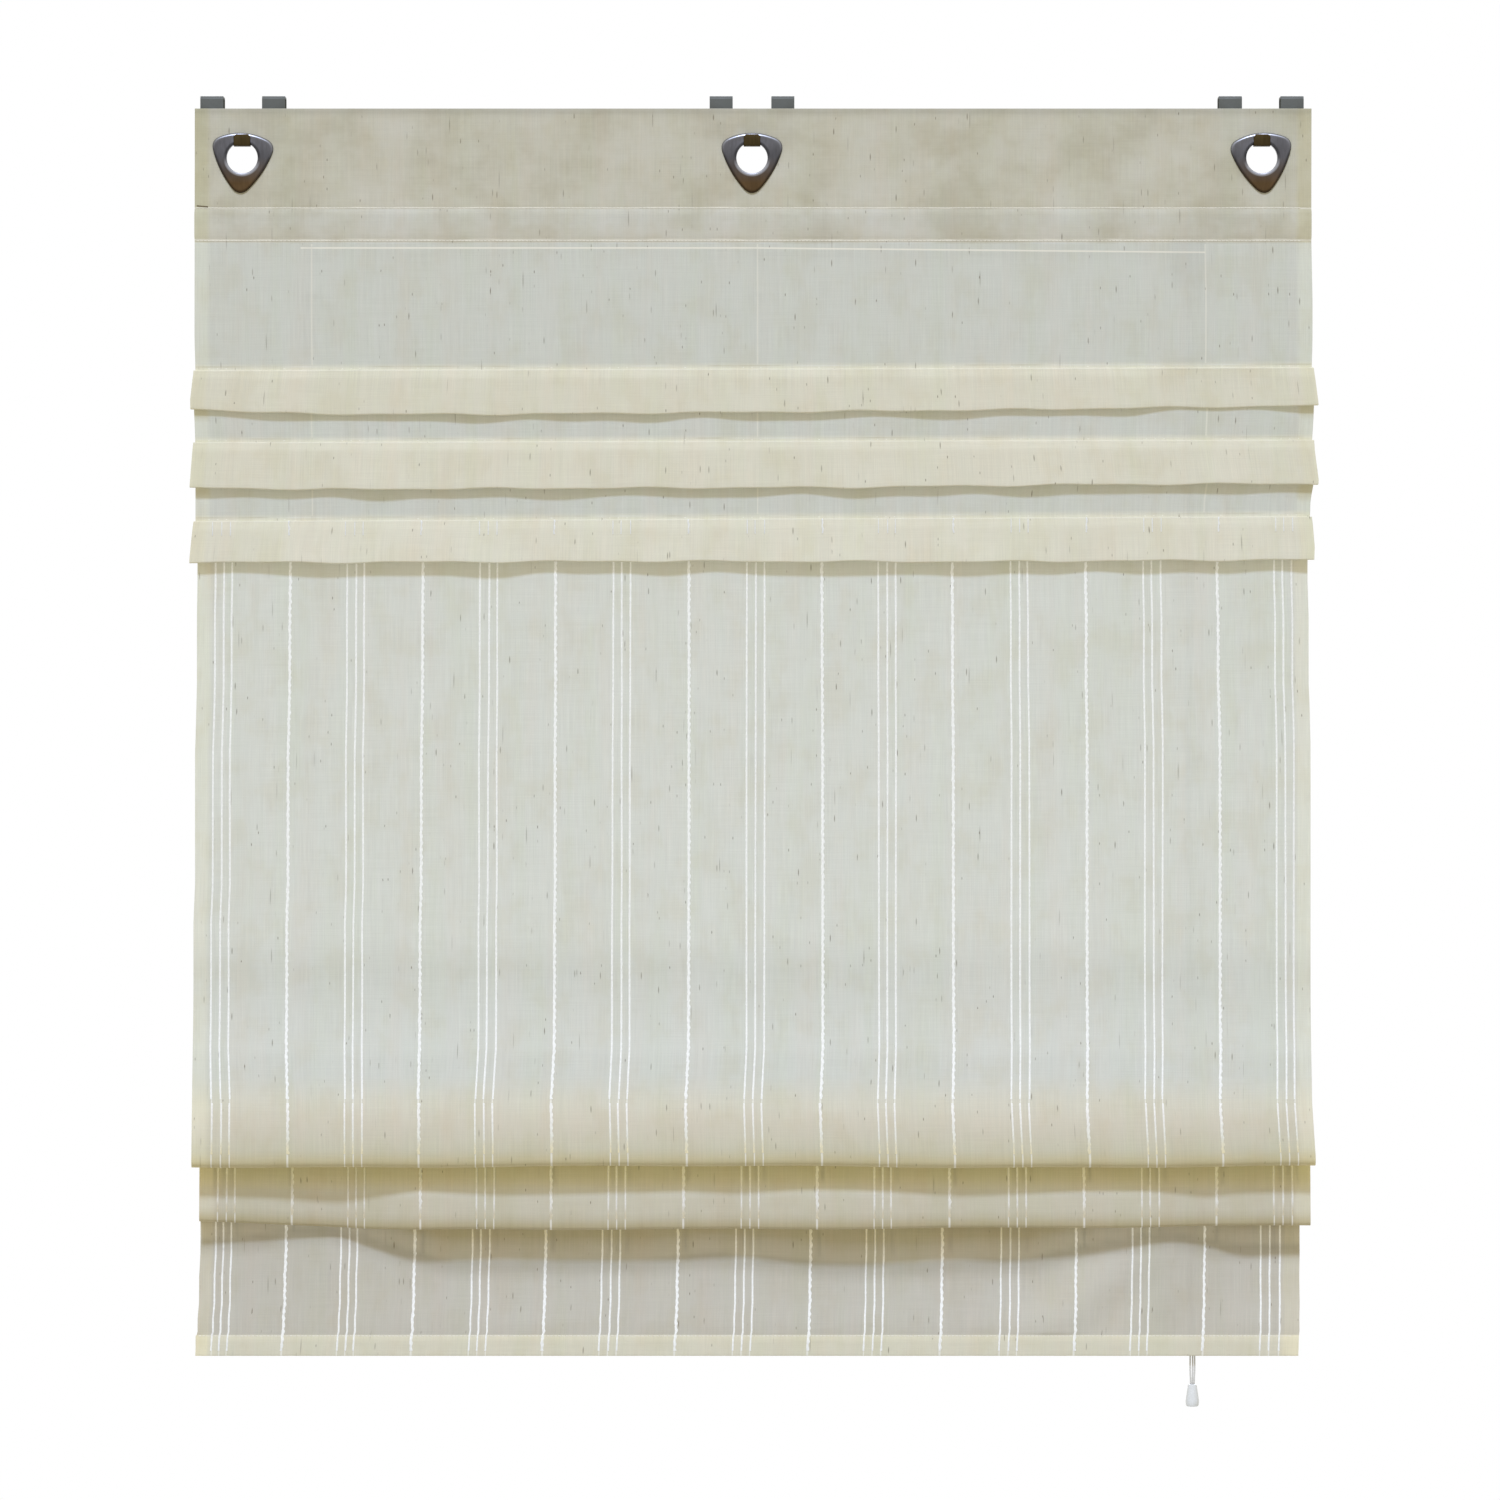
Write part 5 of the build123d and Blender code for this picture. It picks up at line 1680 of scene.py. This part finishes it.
class BLIND_OT_cords(BlindOperator):
    """Lift cords, their runs along the head and the strands of the pull"""

    bl_idname = "blind.cords"
    bl_label = "Cords"

    def execute(self, context):
        diameter = sizes().cord
        for side in SIDES:
            x, top = LIFT_TOPS[side]
            line = spline_points([(x, RING_Y, z) for z in (top, top - 0.25, top - 0.5, CORD_END_Z)])
            lift = cord_tube(f"lift_line_{side}", line, diameter)
            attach(lift, "head")
            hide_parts(f"lift_cord_{side}")
            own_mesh(lift)
            run = cord_tube(
                f"head_line_{side}", spline_points([(x, RING_Y, z) for x, z in HEAD_ROUTES[side]]),
                diameter,
            )
            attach(run, "head")
            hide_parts(f"head_cord_{side}")
            self.strand(side, diameter)
        return {"FINISHED"}

    def strand(self, side, diameter):
        top_x, end_x = STRAND_TOPS[side], PULL_X + STRAND_ENDS[side]
        bulge = STRAND_BULGES[side]
        route = [
            (top_x, RING_Y, STRAND_TOP_Z),
            (top_x, RING_Y, STRAND_TOP_Z - 0.3),
            (0.7 * top_x + 0.3 * end_x, RING_Y, -0.75),
            (0.5 * top_x + 0.5 * end_x, RING_Y, -1.02),
            (end_x + 0.3 * bulge, RING_Y, -1.09),
            (end_x + bulge, RING_Y, -1.116),
            (end_x, RING_Y, -1.127),
            (end_x, RING_Y, STRAND_END_Z),
        ]
        line = spline_points(route)
        piece = cord_tube(f"pull_line_{side}", line, diameter)
        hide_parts(f"pull_cord_{side}")
        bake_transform(piece)


class BLIND_OT_pull(BlindOperator):
    """Drop-shaped pull on the strands, and the knot inside it"""

    bl_idname = "blind.pull"
    bl_label = "Pull"

    def execute(self, context):
        profile = [
            (0.0024, 0.0), (0.0031, 0.0), (0.0037, -0.0004), (0.0041, -0.0018), (0.0045, -0.0045),
            (0.0050, -0.0078), (0.0055, -0.0112), (0.0059, -0.0142), (0.0060, -0.0160), (0.0059, -0.0176),
            (0.0056, -0.0190), (0.0051, -0.0198), (0.0046, -0.0200), (0.0046, -0.0152), (0.0040, -0.0080),
            (0.0033, -0.0032), (0.0024, -0.0030),
        ]
        clear_selection()
        bpy.ops.mesh.primitive_circle_add(vertices=len(profile), radius=0.006, fill_type="NOTHING")
        bead = bpy.context.active_object
        for vertex, (radius, drop) in zip(bead.data.vertices, profile):
            vertex.co = (PULL_X + radius, RING_Y, PULL_TOP_Z + drop)
        bpy.ops.object.mode_set(mode="EDIT")
        bpy.ops.mesh.select_all(action="SELECT")
        bpy.ops.mesh.spin(steps=40, angle=2 * math.pi, center=(PULL_X, RING_Y, 0), axis=(0, 0, 1))
        bpy.ops.mesh.select_all(action="SELECT")
        bpy.ops.mesh.remove_doubles(threshold=MERGE)
        bpy.ops.mesh.normals_make_consistent(inside=False)
        bpy.ops.object.mode_set(mode="OBJECT")
        settle(bead, "pull_drop_bead")
        moulded = plain_material(
            "pull_plastic", colours().pull, 0.25, grain=(900.0, 900.0, 500.0), depth=0.03, bump=0.02,
            coat=0.3,
        )
        paint_piece(bead, moulded)
        smooth(bead, 40)
        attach(bead, "pull")
        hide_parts("pull_pendant")
        dressed("pull_knot", "strand_knot", cord_knot_material(), 0.0006, 3)
        return {"FINISHED"}


def cord_knot_material():
    return plain_material(
        "cord_whipping", colours().yarn, 0.75, grain=(2500.0, 2500.0, 500.0), depth=0.1, bump=0.3,
    )


def loop(x, y, z, rotation, major, minor, segments=16, sides=6):
    """One turn of thread."""
    clear_selection()
    bpy.ops.mesh.primitive_torus_add(
        location=(x, y, z), rotation=rotation, major_radius=major, minor_radius=minor,
        major_segments=segments, minor_segments=sides,
    )
    return pressed(bpy.context.active_object, THREAD_PRESS)


def tie_loops(x, y, z, turn):
    """Three turns of thread that tie a ring's front to the cloth."""
    along = Vector((math.cos(turn), 0, -math.sin(turn)))
    front = Vector((x, y - RING_RADIUS + 0.0002, z))
    places = [front + step * along for step in (-TIE_STEP, 0.0, TIE_STEP)]
    return [loop(*place, (0, turn + math.pi / 2, 0), TIE_RADIUS, TIE_WIRE) for place in places]


def stitch_row(y, z, first, last):
    """A row of stitches along the width: one stitch, eased and repeated."""
    clear_selection()
    bpy.ops.mesh.primitive_cube_add(
        size=1.0, location=(first, y, z), scale=(STITCH_LENGTH, STITCH_THICK, STITCH_THICK),
    )
    piece = settle(bpy.context.active_object, "stitch")
    ease = piece.modifiers.new("Ease", "BEVEL")
    ease.width = 0.3 * STITCH_THICK
    ease.segments = 1
    repeat = piece.modifiers.new("Repeat", "ARRAY")
    repeat.use_relative_offset = False
    repeat.use_constant_offset = True
    repeat.constant_offset_displace = (STITCH_PITCH, 0.0, 0.0)
    repeat.count = int((last - first) / STITCH_PITCH)
    apply_all(piece)
    return piece


THREAD_PRESS = 0.85
TIE_STEP = 0.0008
TIE_RADIUS = 0.0011
TIE_WIRE = 0.0003
WHIP_RADIUS = 0.00175
WHIP_WIRE = 0.00062
WHIP_REACH = 0.0014
STITCH_LENGTH = 0.0026
STITCH_THICK = 0.00055
STITCH_PITCH = 0.0034
LOOSE_PLACE = (-0.4938, FRONT_Y - 0.0003, -0.0711)
LOOSE_TILT = 0.09
LOOSE_SIZE = (0.0102, 0.0006, 0.0009)


class BLIND_OT_threads(BlindOperator):
    """Stitches of the pocket and the hem, ties on the rings and whippings on the bottom rings"""

    bl_idname = "blind.threads"
    bl_label = "Threads"

    def execute(self, context):
        half = sizes().half_width
        y = FRONT_Y - 0.5 * sizes().cloth
        pocket = [stitch_row(y, z, -half + 0.002, half - 0.002) for z in (POCKET_TOP_Z, POCKET_LOW_Z)]
        self.finish(join(pocket, "pocket_stitches"), "head", "cloth")
        loose = plain_material(
            "loose_thread", colours().slub, 0.8, grain=(2600.0, 900.0, 2600.0), depth=0.15, bump=0.2,
        )
        clear_selection()
        bpy.ops.mesh.primitive_cube_add(
            size=1.0, location=LOOSE_PLACE, rotation=(0, LOOSE_TILT, 0), scale=LOOSE_SIZE,
        )
        end = settle(bpy.context.active_object, "thread_end")
        ease = end.modifiers.new("Ease", "BEVEL")
        ease.width = 0.0002
        apply_all(end)
        self.finish(end, "head", "cloth", loose)
        left, right = -half + 0.004, half - 0.013
        self.finish(
            join([stitch_row(y, HEM_Z + sizes().hem, left, right)], "hem_stitches"), "stack", "cloth",
        )
        for row, body in RING_BODIES.items():
            y, z, turn = ring_place(row)
            loops = [turned for x in CORD_COLUMNS for turned in tie_loops(x, y, z, turn)]
            self.finish(join(loops, f"ring_ties_{row}"), body, "cord")
        for side, (x, z) in GUIDE_RINGS.items():
            self.finish(join(tie_loops(x, RING_Y, z, math.pi / 4), f"guide_ties_{side}"), "head", "cord")
        whip_z = RING_ROW_6_Z + RING_RADIUS
        coils = [
            loop(x, RING_Y + step, whip_z, (math.pi / 2, 0, 0), WHIP_RADIUS, WHIP_WIRE, 24, 8)
            for x in CORD_COLUMNS
            for step in np.linspace(-WHIP_REACH, WHIP_REACH, 4)
        ]
        whippings = join(coils, "ring_whippings")
        self.finish(whippings, "stack", "cord")
        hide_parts("cord_knots")
        return {"FINISHED"}

    def finish(self, piece, body, slot, finish=None):
        paint_piece(piece, finish or thread_material())
        smooth(piece, 50)
        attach(piece, body)


def thread_material():
    return plain_material(
        "sewing_thread", colours().thread, 0.75, grain=(2600.0, 2600.0, 600.0), depth=0.08, bump=0.2,
    )


class BLIND_OT_rods(BlindOperator):
    """Batten in the pocket and bar in the hem"""

    bl_idname = "blind.rods"
    bl_label = "Batten and hem bar"

    def execute(self, context):
        shades = colours()
        wood = plain_material("batten_wood", shades.wood, 0.6, grain=(9.0, 400.0, 400.0), depth=0.14)
        bar = plain_material(
            "hem_bar_metal", shades.bar, 0.35, metal=1.0, grain=(12.0, 900.0, 900.0), depth=0.06,
        )
        dressed("header_batten", "pocket_batten", wood, 0.0005)
        dressed("hem_bar", "hem_weight_bar", bar, 0.0004)
        return {"FINISHED"}


class BLIND_OT_cord_lock(BlindOperator):
    """Cord lock on the batten: housing, roller and screws"""

    bl_idname = "blind.cord_lock"
    bl_label = "Cord lock"

    def execute(self, context):
        steel = plain_material(
            "lock_steel", (0.42, 0.42, 0.42), 0.3, metal=1.0, grain=(600.0, 600.0, 600.0),
        )
        dressed("cord_lock_housing", "lock_body", plastic_material(), 0.0004)
        dressed("cord_lock_roller", "lock_roller_pin", steel, 0.0002)
        dressed("lock_screws", "lock_screw_pair", steel, 0.0003)
        return {"FINISHED"}


class BLIND_OT_stage(BlindOperator):
    """Floor, soft studio light, white background and camera"""

    bl_idname = "blind.stage"
    bl_label = "Stage"

    def execute(self, context):
        scene = context.scene
        scene.view_settings.view_transform = "Standard"
        clear_selection()
        bpy.ops.mesh.primitive_plane_add(size=FLOOR_SIZE, location=(0, 0, FLOOR_Z))
        floor = settle(context.active_object, "floor")
        paint_piece(
            floor, plain_material("pale_floor", (0.82, 0.82, 0.81), 0.7, grain=(6.0, 6.0, 6.0), depth=0.01),
        )
        world = bpy.data.worlds.new("studio")
        scene.world = world
        world.use_nodes = True
        tree = world.node_tree
        tree.nodes.clear()
        path = add_node(tree, "ShaderNodeLightPath")
        seen = figured(tree, "MAXIMUM", path.outputs["Is Camera Ray"], path.outputs["Is Glossy Ray"])
        seen = figured(tree, "MAXIMUM", seen, path.outputs["Is Transmission Ray"])
        soft = add_node(tree, "ShaderNodeBackground", Color=(*WORLD_TINT, 1.0), Strength=WORLD_LEVEL)
        white = add_node(tree, "ShaderNodeBackground", Color=(1.0, 1.0, 1.0, 1.0), Strength=1.0)
        either = add_node(tree, "ShaderNodeMixShader")
        link(tree, seen, either.inputs[0])
        link(tree, soft.outputs[0], either.inputs[1])
        link(tree, white.outputs[0], either.inputs[2])
        out = add_node(tree, "ShaderNodeOutputWorld")
        link(tree, either.outputs[0], out.inputs["Surface"])
        for name, rise, turn, strength, spread, colour in LAMPS:
            data = bpy.data.lights.new(name, "SUN")
            data.energy = strength
            data.angle = math.radians(spread)
            data.color = colour
            lamp = linked(name, data)
            rise, turn = math.radians(rise), math.radians(turn)
            way = Vector(
                (math.sin(turn) * math.cos(rise), math.cos(turn) * math.cos(rise), -math.sin(rise))
            )
            lamp.rotation_euler = way.to_track_quat("-Z", "Y").to_euler()
        data = bpy.data.cameras.new("photo_view")
        data.sensor_width = 36.0
        data.lens = data.sensor_width * CAMERA_AWAY / FRAME_WIDTH
        camera = linked("photo_view", data)
        camera.location = (CAMERA_X, FRONT_Y - CAMERA_AWAY, CAMERA_Z)
        camera.rotation_euler = (math.pi / 2, 0, 0)
        scene.camera = camera
        return {"FINISHED"}


FLOOR_SIZE = 1.7
FLOOR_Z = -1.6
CAMERA_X = -0.0018
CAMERA_Z = -0.5596
CAMERA_AWAY = 6.0
FRAME_WIDTH = 1500 / 1113
WORLD_LEVEL = 0.6
WORLD_TINT = (1.0, 0.917, 0.7)
# Lamps: name, rise and turn in degrees, strength, spread in degrees and colour
LAMPS = (
    ("key", 55.0, 4.0, 3.18, 6.5, (0.69, 0.775, 1.0)),
    ("rear", 35.0, 190.0, 1.6, 40.0, (0.69, 0.775, 1.0)),
)

PIECES = (
    BLIND_OT_stage,
    BLIND_OT_pull,
    BLIND_OT_cords,
    BLIND_OT_eyelets,
    BLIND_OT_upper_cloth,
    BLIND_OT_striped_panel,
    BLIND_OT_lower_folds,
    BLIND_OT_stripes,
    BLIND_OT_hangers,
    BLIND_OT_rods,
    BLIND_OT_rings,
    BLIND_OT_threads,
    BLIND_OT_cord_lock,
)


class BLIND_PT_panel(bpy.types.Panel):
    """Lists the blind's operators and settings"""

    bl_idname = "BLIND_PT_panel"
    bl_label = "Roman blind"
    bl_space_type = "VIEW_3D"
    bl_region_type = "UI"
    bl_category = "Blind"

    def draw(self, context):
        for piece in PIECES:
            self.layout.operator(piece.bl_idname)
        for group in (context.scene.blind_sizes, context.scene.blind_colours):
            for key in group.bl_rna.properties.keys():
                if key not in ("rna_type", "name"):
                    self.layout.prop(group, key)


CLASSES = (BlindSizes, BlindColours, *PIECES, BLIND_PT_panel)


def register():
    for item in CLASSES:
        bpy.utils.register_class(item)
    bpy.types.Scene.blind_sizes = PointerProperty(type=BlindSizes)
    bpy.types.Scene.blind_colours = PointerProperty(type=BlindColours)


def unregister():
    del bpy.types.Scene.blind_colours
    del bpy.types.Scene.blind_sizes
    for item in reversed(CLASSES):
        bpy.utils.unregister_class(item)


def main():
    register()
    for piece in PIECES:
        group, name = piece.bl_idname.split(".")
        getattr(getattr(bpy.ops, group), name)()


if __name__ == "__main__":
    main()
